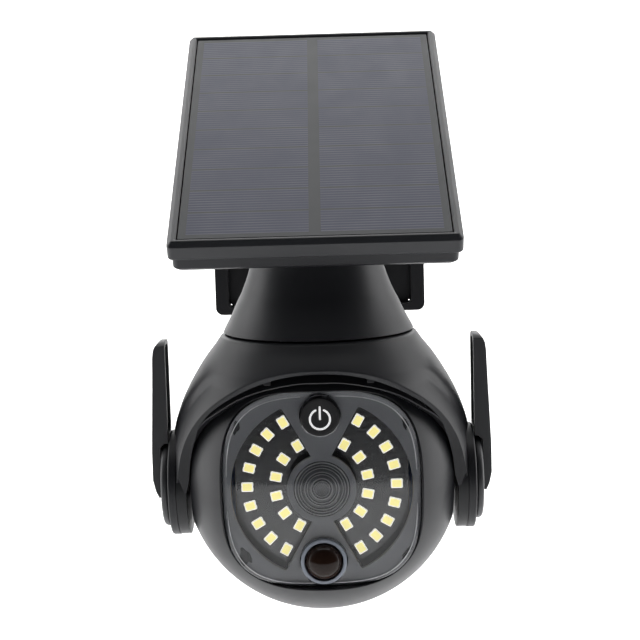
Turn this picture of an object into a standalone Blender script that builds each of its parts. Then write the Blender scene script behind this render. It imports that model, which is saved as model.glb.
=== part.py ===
"""Solar wall lamp shaped like a pan-and-tilt security camera, facing -Y, with +Z up.

The world origin is the middle of the wall bracket's back face. Pieces are drawn in millimetres
around the centre of the ball head, or around the panel hinge for the panel, and moved from there.
"""
import math

import bpy
import bmesh
from mathutils import Matrix, Vector

for old in list(bpy.data.objects):
    bpy.data.objects.remove(old, do_unlink=True)

MM = 0.001

# Places of the main pieces around the ball's centre
WALL_Y = 110.0
PLATE_MID_Z = 67.0
HINGE_Y = 2.0
HINGE_Z = 76.6
PANEL_TILT = 32.4

# Gaps between neighbouring pieces
GAP = 0.3
HOLE_GAP = 0.3

# Ball head
BALL_R = 44.7
BALL_WALL = 2.4
FLAT_X = 41.5
SEAM_Y = 6.0
SEAL_T = 0.8
POCKET_HALF = 30.6
POCKET_CORNER = 19.8
POCKET_FLOOR = -25.5
OPENING_HALF = 28.0
OPENING_CORNER = 17.2
FACE_WALL = 2.4

# Pieces of the face, front to back
COVER_FRONT = -30.4
COVER_T = 1.9
MASK_T = 1.5
GASKET_T = 0.6
BOARD_FRONT = -22.5
BOARD_T = 1.6
LENS_R = 8.4
SENSOR_Z = -22.3
DOME_R = 5.7
RING_R = 7.1
BUTTON_Z = 22.9
BUTTON_R = 6.0
BUTTON_TRAVEL = 0.6
OUTER_LEDS = 9
OUTER_LED_R = 23.2
INNER_LEDS = 6
INNER_LED_R = 14.5
LED_SPREAD = 120.0
LED_LONG = 3.5
LED_SHORT = 2.8
LED_H = 0.8

# Yoke and swivel
BELL = [
    (45.4, 31.0),
    (42.3, 33.1),
    (38.5, 36.1),
    (34.5, 38.8),
    (28.5, 42.3),
    (22.8, 44.9),
    (15.5, 47.3),
    (8.0, 48.4),
    (0.0, 48.8),
]
BELL_WALL = 2.2
BELL_END_Z = -3.0
EAR_R = 17.0
EAR_Z = -3.0
EAR_OUT = 48.8
EAR_T = 2.3
EAR_PLATE_IN = 42.9
EAR_PLATE_TOP = 5.5
LINER_IN = 45.8
LINER_OUT = 47.9
DECK_TOP = 49.5
DECK_LOW = 46.9
TURRET_LOW_R = 27.6
TURRET_TOP_R = 25.2
SPIGOT_R = 12.6
SPIGOT_BORE = 8.0
SPIGOT_TOP = 54.0
FLANGE_LOW = 51.0
FLANGE_TOP = 53.5

# Neck, arm and wall bracket
NECK = [
    (45.8, 30.7),
    (48.2, 29.4),
    (51.8, 27.5),
    (55.7, 25.7),
    (58.6, 24.2),
    (65.4, 21.7),
    (72.0, 20.3),
    (80.0, 19.6),
    (92.0, 19.3),
]
NECK_WALL = 2.4
NECK_ROOF = 61.0
NECK_TOP = 81.8
ARM_HALF_X = 17.0
ARM_LOW = 52.0
ARM_TOP = 76.0
ARM_WALL = 2.5
PLATE_HALF_X = 40.8
PLATE_HALF_Z = 28.0
PLATE_T = 6.0
PLATE_CORNER = 2.8
PLATE_RIM = 5.2
PLATE_STRIP = 3.0
POCKET_DEPTH = 2.5
DRAIN_R = 0.4
FOOT_HALF_X = 25.0
FOOT_HALF_Z = 19.0
FOOT_T = 3.2

# Panel, around its hinge: x, s along the slope, h away from it
UNDERSIDE = 6.0
TRAY_T = 5.2
BEZEL_T = 6.1
PANEL_HALF_X = 44.8
PANEL_FRONT = -28.0
PANEL_REAR = 100.6
TRAY_INSET = 1.2
TRAY_FLOOR = 2.0
TRAY_WALL = 2.5
BEZEL_LIP = 2.9
BEZEL_LEDGE = 3.1
LUG_IN = 5.3
LUG_T = 4.0
LUG_R = 5.0
BOLT_R = 1.9

# Mock antennas
HUB_Z = -3.3
HUB_R = 13.8
HUB_IN = 49.1
HUB_OUT = 52.7
BLADE_HALF_Y = 6.5
BLADE_TOP = 43.6
BLADE_LOW = -7.0
BLADE_TAPER = 0.15

COLOURS = {
    "housing": (0.035, 0.036, 0.040, 0.45, 0.0),
    "black": (0.012, 0.012, 0.013, 0.35, 0.0),
    "clear": (0.75, 0.78, 0.80, 0.05, 0.0),
    "grey": (0.16, 0.17, 0.18, 0.5, 0.0),
    "board": (0.02, 0.025, 0.03, 0.5, 0.0),
    "cells": (0.05, 0.06, 0.12, 0.2, 0.1),
    "rubber": (0.02, 0.02, 0.02, 0.8, 0.0),
    "steel": (0.6, 0.6, 0.6, 0.3, 1.0),
    "lens": (0.05, 0.02, 0.02, 0.08, 0.0),
    "ring": (0.18, 0.20, 0.25, 0.3, 0.0),
    "battery": (0.05, 0.18, 0.40, 0.4, 0.0),
}


def blend_in(table, z):
    """Radius at height z on a list of (height, radius) that runs downwards or upwards."""
    rows = sorted(table)
    if z <= rows[0][0]:
        return rows[0][1]
    for low, high in zip(rows, rows[1:]):
        if z <= high[0]:
            part = (z - low[0]) / (high[0] - low[0])
            return low[1] + part * (high[1] - low[1])
    return rows[-1][1]


def new_object(bm):
    bmesh.ops.remove_doubles(bm, verts=bm.verts, dist=0.0001)
    bmesh.ops.recalc_face_normals(bm, faces=bm.faces)
    mesh = bpy.data.meshes.new("work")
    bm.to_mesh(mesh)
    bm.free()
    obj = bpy.data.objects.new("work", mesh)
    bpy.context.scene.collection.objects.link(obj)
    return obj


def stack(levels, turn=Matrix.Identity(4)):
    """A closed solid from outlines of equal length at rising heights."""
    bm = bmesh.new()
    rings = []
    for outline, height in levels:
        rings.append([bm.verts.new(turn @ Vector((a, b, height))) for a, b in outline])
    count = len(rings[0])
    for low, high in zip(rings, rings[1:]):
        for i in range(count):
            j = (i + 1) % count
            bm.faces.new((low[i], low[j], high[j], high[i]))
    bm.faces.new(list(reversed(rings[0])))
    bm.faces.new(rings[-1])
    return new_object(bm)


# Drawing planes: (a, b, height) to (x, y, z)
ALONG_X = Matrix(((0, 0, 1, 0), (1, 0, 0, 0), (0, 1, 0, 0), (0, 0, 0, 1)))
ALONG_Y = Matrix(((1, 0, 0, 0), (0, 0, 1, 0), (0, 1, 0, 0), (0, 0, 0, 1)))
ALONG_Z = Matrix.Identity(4)


def prism(outline, low, high, turn):
    return stack([(outline, low), (outline, high)], turn)


def box(low, high):
    outline = [(low[0], low[1]), (high[0], low[1]), (high[0], high[1]), (low[0], high[1])]
    return prism(outline, low[2], high[2], ALONG_Z)


def circle(radius, count, at=(0.0, 0.0)):
    steps = [2 * math.pi * i / count for i in range(count)]
    return [(at[0] + radius * math.cos(t), at[1] + radius * math.sin(t)) for t in steps]


def rod(radius, low, high, turn, at=(0.0, 0.0), count=24):
    return prism(circle(radius, count, at), low, high, turn)


def rounded(half_a, half_b, corner, at=(0.0, 0.0), steps=6):
    """Rounded rectangle outline."""
    outline = []
    for quarter, (side_a, side_b) in enumerate([(1, 1), (-1, 1), (-1, -1), (1, -1)]):
        for i in range(steps + 1):
            angle = math.radians(90 * quarter + 90 * i / steps)
            mid_a = side_a * (half_a - corner)
            mid_b = side_b * (half_b - corner)
            a = at[0] + mid_a + corner * math.cos(angle)
            b = at[1] + mid_b + corner * math.sin(angle)
            outline.append((a, b))
    return outline


def revolve(profile, count, turn=ALONG_Z, at=(0.0, 0.0)):
    """A closed solid from a closed outline of (radius, height) turned around an axis."""
    bm = bmesh.new()
    rings = []
    for i in range(count):
        angle = 2 * math.pi * i / count
        ring = []
        for radius, height in profile:
            spot = Vector((at[0] + radius * math.cos(angle), at[1] + radius * math.sin(angle), height))
            ring.append(bm.verts.new(turn @ spot))
        rings.append(ring)
    for i in range(count):
        j = (i + 1) % count
        for a in range(len(profile)):
            b = (a + 1) % len(profile)
            if profile[a][0] < 1e-6 and profile[b][0] < 1e-6:
                continue
            corners = [rings[i][a], rings[j][a], rings[j][b], rings[i][b]]
            if profile[a][0] < 1e-6:
                corners = [rings[i][a], rings[j][b], rings[i][b]]
            if profile[b][0] < 1e-6:
                corners = [rings[i][a], rings[j][a], rings[i][b]]
            bm.faces.new(corners)
    return new_object(bm)


def combine(first, second, operation):
    """First joined with, cut by or kept inside the second, which is used up."""
    modifier = first.modifiers.new("combine", "BOOLEAN")
    modifier.operation = operation
    modifier.solver = "EXACT"
    modifier.object = second
    graph = bpy.context.evaluated_depsgraph_get()
    result = bpy.data.meshes.new_from_object(first.evaluated_get(graph))
    first.modifiers.clear()
    first.data = result
    bpy.data.objects.remove(second, do_unlink=True)
    return first


def cut(first, *cutters):
    for cutter in cutters:
        first = combine(first, cutter, "DIFFERENCE")
    return first


def join(first, *others):
    for other in others:
        first = combine(first, other, "UNION")
    return first


def keep(first, limit):
    return combine(first, limit, "INTERSECT")


def mirrored(make, name, body, slot):
    """The same piece at both sides; make(side) draws it at +X for 1 and at -X for -1."""
    for side, word in ((-1, "left"), (1, "right")):
        piece = make(side)
        place(piece, f"{name}_{word}", body.get(side) if isinstance(body, dict) else body, slot)


def flip(obj, side):
    if side < 0:
        for vert in obj.data.vertices:
            vert.co.x = -vert.co.x
        obj.data.flip_normals()
    return obj


materials = {}
for slot, (red, green, blue, rough, metal) in COLOURS.items():
    material = bpy.data.materials.new(slot)
    material.use_nodes = True
    shader = material.node_tree.nodes["Principled BSDF"]
    shader.inputs["Base Color"].default_value = (red, green, blue, 1.0)
    shader.inputs["Roughness"].default_value = rough
    shader.inputs["Metallic"].default_value = metal
    materials[slot] = material

# One empty for each body, on its joint's axis
PIVOTS = {
    "mount": (0.0, WALL_Y, PLATE_MID_Z),
    "panel": (0.0, HINGE_Y, HINGE_Z),
    "yoke": (0.0, 0.0, 45.6),
    "head": (0.0, 0.0, 0.0),
    "antenna_left": (-HUB_IN, 0.0, HUB_Z),
    "antenna_right": (HUB_IN, 0.0, HUB_Z),
    "power_button": (0.0, POCKET_FLOOR, BUTTON_Z),
}
ORIGIN = Vector(PIVOTS["mount"])
empties = {}
for body, spot in PIVOTS.items():
    empty = bpy.data.objects.new(f"joint_{body}", None)
    bpy.context.scene.collection.objects.link(empty)
    empty.location = (Vector(spot) - ORIGIN) * MM
    empties[body] = empty
empties["panel"].rotation_euler = (math.radians(PANEL_TILT), 0.0, 0.0)


def place(obj, name, body, slot):
    """Scale a finished piece to metres and hang it on its body's empty."""
    shift = Vector((0.0, 0.0, 0.0)) if body == "panel" else Vector(PIVOTS[body])
    for vert in obj.data.vertices:
        vert.co = (vert.co - shift) * MM
    obj.name = name
    obj.data.name = name
    obj.data.materials.clear()
    obj.data.materials.append(materials[slot])
    for face in obj.data.polygons:
        face.material_index = 0
    obj.parent = empties[body]


def arc(radius, start, end, count):
    """Points (height, radius) of a sphere's outline between two heights."""
    first = math.asin(start / radius)
    last = math.asin(end / radius)
    angles = [first + (last - first) * i / count for i in range(count + 1)]
    return [(radius * math.cos(t), radius * math.sin(t)) for t in angles]


def slab_ball(radius, flat, count=36, steps=14):
    """A ball with two flats square to X."""
    profile = [(0.0, -flat)] + arc(radius, -flat, flat, steps) + [(0.0, flat)]
    return revolve(profile, count, ALONG_X)


def ball_shell(outer, inner, back, front):
    """A hollow flat-sided ball kept between two planes square to Y."""
    shell = slab_ball(outer, FLAT_X - (BALL_R - outer))
    shell = keep(shell, box((-60, front, -60), (60, back, 60)))
    return cut(shell, slab_ball(inner, FLAT_X - (BALL_R - inner)))


# ---------------------------------------------------------------- wall bracket, arm and neck
plate_front = WALL_Y - PLATE_T
floor_y = plate_front + POCKET_DEPTH
plate_mid = (0.0, PLATE_MID_Z)
bracket = prism(rounded(PLATE_HALF_X, PLATE_HALF_Z, PLATE_CORNER, plate_mid), plate_front, WALL_Y, ALONG_Y)
recess = rounded(PLATE_HALF_X - PLATE_RIM, PLATE_HALF_Z - PLATE_STRIP, 1.0, plate_mid, 2)
bracket = cut(bracket, prism(recess, plate_front - 5, floor_y, ALONG_Y))
foot_spots = [(a, PLATE_MID_Z + b) for a in (-21.0, 21.0) for b in (-15.0, 11.0)]
wall_spots = [(a, PLATE_MID_Z + b) for a in (-29.0, 29.0) for b in (1.0, 19.0)]
drain_x = PLATE_HALF_X - PLATE_RIM - DRAIN_R - 0.3
drain_spots = [(a, PLATE_MID_Z - PLATE_HALF_Z + PLATE_STRIP + DRAIN_R + 0.3) for a in (-drain_x, drain_x)]
for spot in wall_spots:
    bracket = cut(bracket, rod(2.4, floor_y - 5, WALL_Y + 5, ALONG_Y, spot, 16))
for spot in foot_spots:
    bracket = cut(bracket, rod(1.4 + HOLE_GAP, floor_y - 5, WALL_Y + 5, ALONG_Y, spot, 12))
for spot in drain_spots:
    bracket = cut(bracket, rod(DRAIN_R, floor_y - 5, WALL_Y + 5, ALONG_Y, spot, 8))
place(bracket, "wall_bracket", "mount", "housing")

neck_outline = [(r, z) for z, r in NECK]
neck = revolve(neck_outline + [(0.0, NECK[-1][0]), (0.0, NECK[0][0])], 48)
foot_front = floor_y - GAP - FOOT_T
neck = join(neck, box((-ARM_HALF_X, 8, ARM_LOW), (ARM_HALF_X, foot_front + 1, ARM_TOP)))
foot = rounded(FOOT_HALF_X, FOOT_HALF_Z, 3.0, plate_mid, 4)
neck = join(neck, prism(foot, foot_front, floor_y - GAP, ALONG_Y))
arm_core_low = (-ARM_HALF_X + ARM_WALL, 32, ARM_LOW - 5)
arm_core_high = (ARM_HALF_X - ARM_WALL, foot_front - 3, ARM_TOP - ARM_WALL)
neck = cut(neck, box(arm_core_low, arm_core_high))
rib = box((-ARM_WALL / 2, 30, ARM_LOW + 1), (ARM_WALL / 2, foot_front, ARM_TOP - 1))
neck = join(neck, rib)
bore_r = SPIGOT_R + HOLE_GAP
cavity = [
    (0.0, NECK[0][0] - 5),
    (blend_in(NECK, NECK[0][0]) - NECK_WALL, NECK[0][0] - 5),
    (blend_in(NECK, NECK[0][0]) - NECK_WALL, NECK[0][0]),
    (blend_in(NECK, FLANGE_LOW) - NECK_WALL, FLANGE_LOW),
    (bore_r, FLANGE_LOW),
    (bore_r, FLANGE_TOP),
    (blend_in(NECK, FLANGE_TOP) - NECK_WALL, FLANGE_TOP),
    (blend_in(NECK, NECK_ROOF) - NECK_WALL, NECK_ROOF),
    (0.0, NECK_ROOF),
]
neck = cut(neck, revolve(cavity, 48))
neck = cut(neck, box((-30, -40, NECK_TOP), (30, 40, 120)))
slope = math.radians(PANEL_TILT)
wedge = box((-60, -60, UNDERSIDE - 0.8), (60, 90, 60))
wedge.data.transform(Matrix.Translation((0, HINGE_Y, HINGE_Z)) @ Matrix.Rotation(slope, 4, "X"))
neck = cut(neck, wedge)
well_x = LUG_IN + LUG_T + 3.9
neck = cut(neck, box((-well_x, HINGE_Y - 9, HINGE_Z - 8), (well_x, HINGE_Y + 9, 110)))
knuckle_half = LUG_IN - GAP
knuckle = rod(LUG_R - 0.3, -knuckle_half, knuckle_half, ALONG_X, (HINGE_Y, HINGE_Z))
stem = box((-knuckle_half, HINGE_Y - LUG_R + 0.3, HINGE_Z - 9), (knuckle_half, HINGE_Y + LUG_R - 0.3, HINGE_Z))
neck = join(neck, join(knuckle, stem))
neck = cut(neck, rod(BOLT_R + HOLE_GAP, -20, 20, ALONG_X, (HINGE_Y, HINGE_Z), 16))
for spot in foot_spots:
    neck = cut(neck, rod(1.4 + HOLE_GAP, foot_front - 5, floor_y + 5, ALONG_Y, spot, 12))
place(neck, "neck_arm", "mount", "housing")

for number, spot in enumerate(foot_spots, 1):
    head_back = foot_front - GAP
    screw = rod(2.8, head_back - 2.0, head_back, ALONG_Y, spot, 16)
    screw = join(screw, rod(1.4, head_back - 1.0, WALL_Y - 0.6, ALONG_Y, spot, 12))
    place(screw, f"foot_screw_{number}", "mount", "steel")

bolt_end = LUG_IN + LUG_T + GAP
bolt = rod(BOLT_R, -bolt_end - 1, bolt_end + 2.8, ALONG_X, (HINGE_Y, HINGE_Z), 16)
bolt = join(bolt, rod(3.5, -bolt_end - 2.6, -bolt_end, ALONG_X, (HINGE_Y, HINGE_Z), 6))
place(bolt, "hinge_bolt", "mount", "steel")
nut = rod(3.5, bolt_end, bolt_end + 2.4, ALONG_X, (HINGE_Y, HINGE_Z), 6)
nut = cut(nut, rod(BOLT_R + HOLE_GAP, 0, bolt_end + 10, ALONG_X, (HINGE_Y, HINGE_Z), 16))
place(nut, "hinge_nut", "mount", "steel")

washer_outline = [
    (SPIGOT_R + 0.6, DECK_TOP + GAP),
    (20.0, DECK_TOP + GAP),
    (20.0, FLANGE_LOW - GAP),
    (SPIGOT_R + 0.6, FLANGE_LOW - GAP),
]
place(revolve(washer_outline, 32), "swivel_washer", "mount", "rubber")

# ---------------------------------------------------------------- yoke
outer_side = [(r, z) for z, r in BELL]
inner_side = [(r - BELL_WALL, z) for z, r in BELL[1:]]
bell_outline = (
    [(SPIGOT_BORE, SPIGOT_TOP), (SPIGOT_R, SPIGOT_TOP), (SPIGOT_R, DECK_TOP), (TURRET_TOP_R, DECK_TOP)]
    + [(TURRET_LOW_R, BELL[0][0])]
    + outer_side
    + [(BELL[-1][1], BELL_END_Z), (BELL[-1][1] - BELL_WALL, BELL_END_Z)]
    + list(reversed(inner_side))
    + [(28.6, 43.4), (TURRET_LOW_R - 2.6, 45.0), (22.8, DECK_LOW), (SPIGOT_BORE, DECK_LOW)]
)
yoke = revolve(bell_outline, 40)


def ear_rod(radius, low, high, side, count=32):
    piece = rod(radius, low, high, ALONG_X, (0.0, EAR_Z), count)
    return flip(piece, side)


for side in (-1, 1):
    yoke = join(yoke, ear_rod(EAR_R, EAR_OUT - 5.4, EAR_OUT, side))
    room = ear_rod(EAR_R - 1.1, 0.0, EAR_OUT - EAR_T, side)
    room = join(room, flip(box((0, -20, -30), (EAR_OUT - EAR_T, 20, EAR_PLATE_TOP + GAP)), side))
    yoke = cut(yoke, room)
    yoke = cut(yoke, flip(rod(2.9, 40, 60, ALONG_X, (0.0, HUB_Z), 16), side))

ARCH = [(-36.5, 37.6), (-34.5, 35.6), (-30.0, 29.6), (-24.0, 21.5), (-19.5, 12.0), (-EAR_R - 0.5, 2.0)]
LINER_ARCH = [(-34.0, 33.4), (-27.2, 27.4), (-21.0, 20.5), (-18.2, 12.0), (-17.6, 2.0)]


def arch_cutter(line, side, reach):
    """Everything in front of the arch line, or behind it for side 1."""
    outline = [(-70.0, line[0][1] + reach), (line[0][0] - reach, line[0][1] + reach)] + line
    outline += [(line[-1][0], -60.0), (-70.0, -60.0)]
    piece = prism(outline, -70.0, 70.0, ALONG_X)
    if side > 0:
        for vert in piece.data.vertices:
            vert.co.y = -vert.co.y
        piece.data.flip_normals()
    return piece


for side in (-1, 1):
    yoke = cut(yoke, arch_cutter(ARCH, side, 0.0))
for turn_deg in (90, 210, 330):
    spot = (10.3 * math.cos(math.radians(turn_deg)), 10.3 * math.sin(math.radians(turn_deg)))
    yoke = cut(yoke, rod(0.9 + HOLE_GAP, 48.5, 60, ALONG_Z, spot, 10))
place(yoke, "yoke_shell", "yoke", "housing")

liner = revolve(arc(LINER_OUT, -10, 42, 9) + list(reversed(arc(LINER_IN, -10, 42, 9))), 40)
limit_side = [(r - BELL_WALL - GAP, z) for z, r in BELL[1:]]
limit_outline = [(0.0, 43.0), (28.0, 43.0)] + limit_side + [(BELL[-1][1] - BELL_WALL - GAP, -20), (0.0, -20)]
liner = keep(liner, revolve(limit_outline, 40))
liner = keep(liner, box((-43.1, -60, EAR_PLATE_TOP + 2.0), (43.1, 60, 60)))
for side in (-1, 1):
    liner = cut(liner, arch_cutter(LINER_ARCH, side, 20.0))
    liner = cut(liner, ear_rod(EAR_R + 0.3, 42.5, 60, side))
for a in (-15.0, 15.0):
    for y_low, y_high in ((-32.6, -30.4), (30.4, 32.6)):
        liner = join(liner, box((a - 1.5, y_low, 31.0), (a + 1.5, y_high, 34.6)))
place(liner, "hood_liner", "yoke", "black")

for turn_deg, number in ((90, 1), (210, 2), (330, 3)):
    spot = (10.3 * math.cos(math.radians(turn_deg)), 10.3 * math.sin(math.radians(turn_deg)))
    screw = rod(1.9, SPIGOT_TOP + 2.6, SPIGOT_TOP + 3.8, ALONG_Z, spot, 12)
    screw = join(screw, rod(0.9, 49.2, SPIGOT_TOP + 3.0, ALONG_Z, spot, 10))
    place(screw, f"swivel_screw_{number}", "yoke", "steel")
retainer_outline = [
    (SPIGOT_BORE, SPIGOT_TOP + GAP),
    (13.4, SPIGOT_TOP + GAP),
    (13.4, FLANGE_TOP + GAP),
    (18.0, FLANGE_TOP + GAP),
    (18.0, SPIGOT_TOP + 2.3),
    (SPIGOT_BORE, SPIGOT_TOP + 2.3),
]
retainer = revolve(retainer_outline, 32)
for turn_deg in (90, 210, 330):
    spot = (10.3 * math.cos(math.radians(turn_deg)), 10.3 * math.sin(math.radians(turn_deg)))
    retainer = cut(retainer, rod(0.9 + HOLE_GAP, 50, 60, ALONG_Z, spot, 10))
place(retainer, "swivel_retainer", "yoke", "black")

ear_plate_out = EAR_OUT - EAR_T - GAP
bolt_head_in = ear_plate_out - 1.7


def ear_plate(side):
    plate = rod(EAR_R - 0.2, EAR_PLATE_IN, ear_plate_out, ALONG_X, (0.0, EAR_Z), 40)
    plate = cut(plate, box((30, -30, EAR_PLATE_TOP), (60, 30, 60)))
    slope_cut = [(-30.0, EAR_PLATE_TOP + 3), (-EAR_R + 3.5, EAR_PLATE_TOP + 3), (-EAR_R - 3, -1.5), (-30.0, -1.5)]
    plate = cut(plate, prism(slope_cut, 30, 60, ALONG_X))
    plate = cut(plate, rod(2.0 + HOLE_GAP, 30, 60, ALONG_X, (0.0, 0.0), 16))
    plate = cut(plate, rod(4.3, bolt_head_in - GAP, 60, ALONG_X, (0.0, 0.0), 20))
    return flip(plate, side)


def pivot_bolt(side):
    bolt = rod(4.0, bolt_head_in, ear_plate_out - 0.1, ALONG_X, (0.0, 0.0), 20)
    return flip(join(bolt, rod(2.0, 33.5, bolt_head_in + 0.5, ALONG_X, (0.0, 0.0), 16)), side)


def friction_washer(side):
    outline = [(2.6, FLAT_X + GAP), (8.0, FLAT_X + GAP), (8.0, EAR_PLATE_IN - GAP), (2.6, EAR_PLATE_IN - GAP)]
    return flip(revolve(outline, 24, ALONG_X), side)


mirrored(ear_plate, "ear_plate", "yoke", "black")
mirrored(pivot_bolt, "pivot_bolt", "yoke", "steel")
mirrored(friction_washer, "friction_washer", "yoke", "rubber")

# ---------------------------------------------------------------- mock antennas
blade_outline = [
    (50.6, BLADE_LOW),
    (52.6, BLADE_LOW),
    (54.5, -1.0),
    (54.5, 8.0),
    (53.2, 40.0),
    (52.8, 42.0),
    (51.9, 43.2),
    (50.8, BLADE_TOP),
    (49.2, BLADE_TOP),
    (49.2, 11.2),
    (50.6, 11.2),
]


def blade(side, grow=0.0):
    turn = Matrix(((1, 0, 0, 0), (0, 0, 1, 0), (0, 1, 0, 0), (0, 0, 0, 1)))
    piece = prism(blade_outline, -BLADE_HALF_Y - grow, BLADE_HALF_Y + grow, turn)
    for vert in piece.data.vertices:
        part = (vert.co.z - BLADE_LOW) / (BLADE_TOP - BLADE_LOW)
        vert.co.y *= 1 - BLADE_TAPER * part
        if grow and vert.co.z < 0:
            vert.co.z -= grow
        if grow and vert.co.x < 52:
            vert.co.x = 50.6 - grow
    return flip(piece, side)


def hub(side):
    profile = [(0.0, EAR_OUT - EAR_T + 0.1), (2.6, EAR_OUT - EAR_T + 0.1), (2.6, HUB_IN), (HUB_R, HUB_IN)]
    profile += [(HUB_R, HUB_OUT - 1.6), (HUB_R - 0.6, HUB_OUT - 0.7), (HUB_R - 2.4, HUB_OUT - 0.1), (0.0, HUB_OUT)]
    piece = revolve(profile, 36, ALONG_X, (0.0, HUB_Z))
    return cut(flip(piece, side), blade(side, GAP))


antenna_bodies = {-1: "antenna_left", 1: "antenna_right"}
mirrored(hub, "antenna_hub", antenna_bodies, "housing")
mirrored(blade, "antenna_blade", antenna_bodies, "housing")

# ---------------------------------------------------------------- ball head
front_shell = ball_shell(BALL_R, BALL_R - BALL_WALL, SEAM_Y, -60)
wall = slab_ball(BALL_R - 1.0, FLAT_X - 1.0)
wall = keep(wall, box((-60, POCKET_FLOOR - 4, -60), (60, POCKET_FLOOR + FACE_WALL, 60)))
front_shell = join(front_shell, wall)
screw_spots = [(a, b) for a in (-24.5, 24.5) for b in (-28.5, 28.5)]
for spot in screw_spots:
    front_shell = join(front_shell, rod(3.6, -16, SEAM_Y, ALONG_Y, spot, 16))
    front_shell = cut(front_shell, rod(1.3 + HOLE_GAP, -10, SEAM_Y + 5, ALONG_Y, spot, 12))
for side in (-1, 1):
    front_shell = join(front_shell, flip(rod(5.0, 32.5, FLAT_X - 1, ALONG_X, (0.0, 0.0), 20), side))
    front_shell = cut(front_shell, flip(rod(2.0 + HOLE_GAP, 30, 60, ALONG_X, (0.0, 0.0), 16), side))
pocket = rounded(POCKET_HALF, POCKET_HALF, POCKET_CORNER, steps=10)
opening = rounded(OPENING_HALF, OPENING_HALF, OPENING_CORNER, steps=10)
front_shell = cut(front_shell, prism(pocket, -70, POCKET_FLOOR, ALONG_Y))
front_shell = cut(front_shell, prism(opening, -70, POCKET_FLOOR + 10, ALONG_Y))
place(front_shell, "ball_front", "head", "housing")

rear_start = SEAM_Y + SEAL_T + 2 * GAP
rear_shell = ball_shell(BALL_R, BALL_R - BALL_WALL, 60, rear_start)
for spot in screw_spots:
    tube = rod(3.6, rear_start, 26, ALONG_Y, spot, 16)
    tube = keep(tube, slab_ball(BALL_R - 0.8, FLAT_X - 1))
    rear_shell = join(rear_shell, tube)
    rear_shell = cut(rear_shell, rod(1.5 + HOLE_GAP, 0, 40, ALONG_Y, spot, 12))
    rear_shell = cut(rear_shell, rod(3.2, 17, 60, ALONG_Y, spot, 16))
place(rear_shell, "ball_rear", "head", "housing")
seal = ball_shell(BALL_R - 0.5, BALL_R - BALL_WALL + 0.3, SEAM_Y + GAP + SEAL_T, SEAM_Y + GAP)
place(seal, "shell_seal", "head", "rubber")
for number, spot in enumerate(screw_spots, 1):
    screw = rod(2.8, 17 - 0.0 + GAP, 19.2, ALONG_Y, spot, 16)
    screw = join(screw, rod(1.3, -8, 18, ALONG_Y, spot, 12))
    place(screw, f"shell_screw_{number}", "head", "steel")


def squircle(inset, corner_inset=None):
    """The pocket's outline, pulled in."""
    corner = POCKET_CORNER - (inset if corner_inset is None else corner_inset)
    return rounded(POCKET_HALF - inset, POCKET_HALF - inset, corner, steps=10)


cover_back = COVER_FRONT + COVER_T
cover = stack([(squircle(1.5), COVER_FRONT), (squircle(0.3), COVER_FRONT + 1.2), (squircle(0.3), cover_back)], ALONG_Y)
cover = cut(cover, rod(RING_R + HOLE_GAP, -50, 0, ALONG_Y, (0.0, SENSOR_Z), 32))
cover = cut(cover, rod(BUTTON_R + HOLE_GAP, -50, 0, ALONG_Y, (0.0, BUTTON_Z), 32))
place(cover, "face_cover", "head", "clear")

mask_front = cover_back + GAP
mask_back = mask_front + MASK_T
mask = prism(squircle(0.5), mask_front, mask_back, ALONG_Y)
WINDOW_R = 27.4
HOLLOW_R = 10.4
WINDOW_TOP = 63.0


def window(side):
    """Wing opening between two arcs, wide at the outside."""
    outline = []
    for i in range(19):
        angle = math.radians(-WINDOW_TOP + 2 * WINDOW_TOP * i / 18)
        outline.append((WINDOW_R * math.cos(angle), WINDOW_R * math.sin(angle)))
    for i in range(13):
        angle = math.radians(70 - 140 * i / 12)
        outline.append((HOLLOW_R * math.cos(angle), HOLLOW_R * math.sin(angle)))
    return flip(prism(outline, mask_front - 5, mask_back + 5, ALONG_Y), side)


post_spots = [(a, b) for a in (-10.5, 10.5) for b in (-25.0, 25.0)]
for side in (-1, 1):
    mask = cut(mask, window(side))
mask = cut(mask, rod(LENS_R + HOLE_GAP, -50, 0, ALONG_Y, (0.0, 0.0), 32))
mask = cut(mask, rod(RING_R + HOLE_GAP, -50, 0, ALONG_Y, (0.0, SENSOR_Z), 32))
mask = cut(mask, rod(BUTTON_R + HOLE_GAP, -50, 0, ALONG_Y, (0.0, BUTTON_Z), 32))
for spot in post_spots:
    mask = join(mask, rod(1.8, mask_back - 0.5, BOARD_FRONT - GAP, ALONG_Y, spot, 12))
    mask = cut(mask, rod(1.1, mask_back + 0.8, BOARD_FRONT + 5, ALONG_Y, spot, 8))
place(mask, "reflector_mask", "head", "grey")

gasket_front = mask_back + GAP
gasket = prism(squircle(0.6), gasket_front, gasket_front + GASKET_T, ALONG_Y)
gasket_hole = rounded(OPENING_HALF + 0.3, OPENING_HALF + 0.3, OPENING_CORNER + 0.3, steps=10)
gasket = cut(gasket, prism(gasket_hole, -60, 0, ALONG_Y))
gasket = cut(gasket, rod(BUTTON_R + HOLE_GAP, -60, 0, ALONG_Y, (0.0, BUTTON_Z), 32))
place(gasket, "cover_gasket", "head", "rubber")

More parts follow.
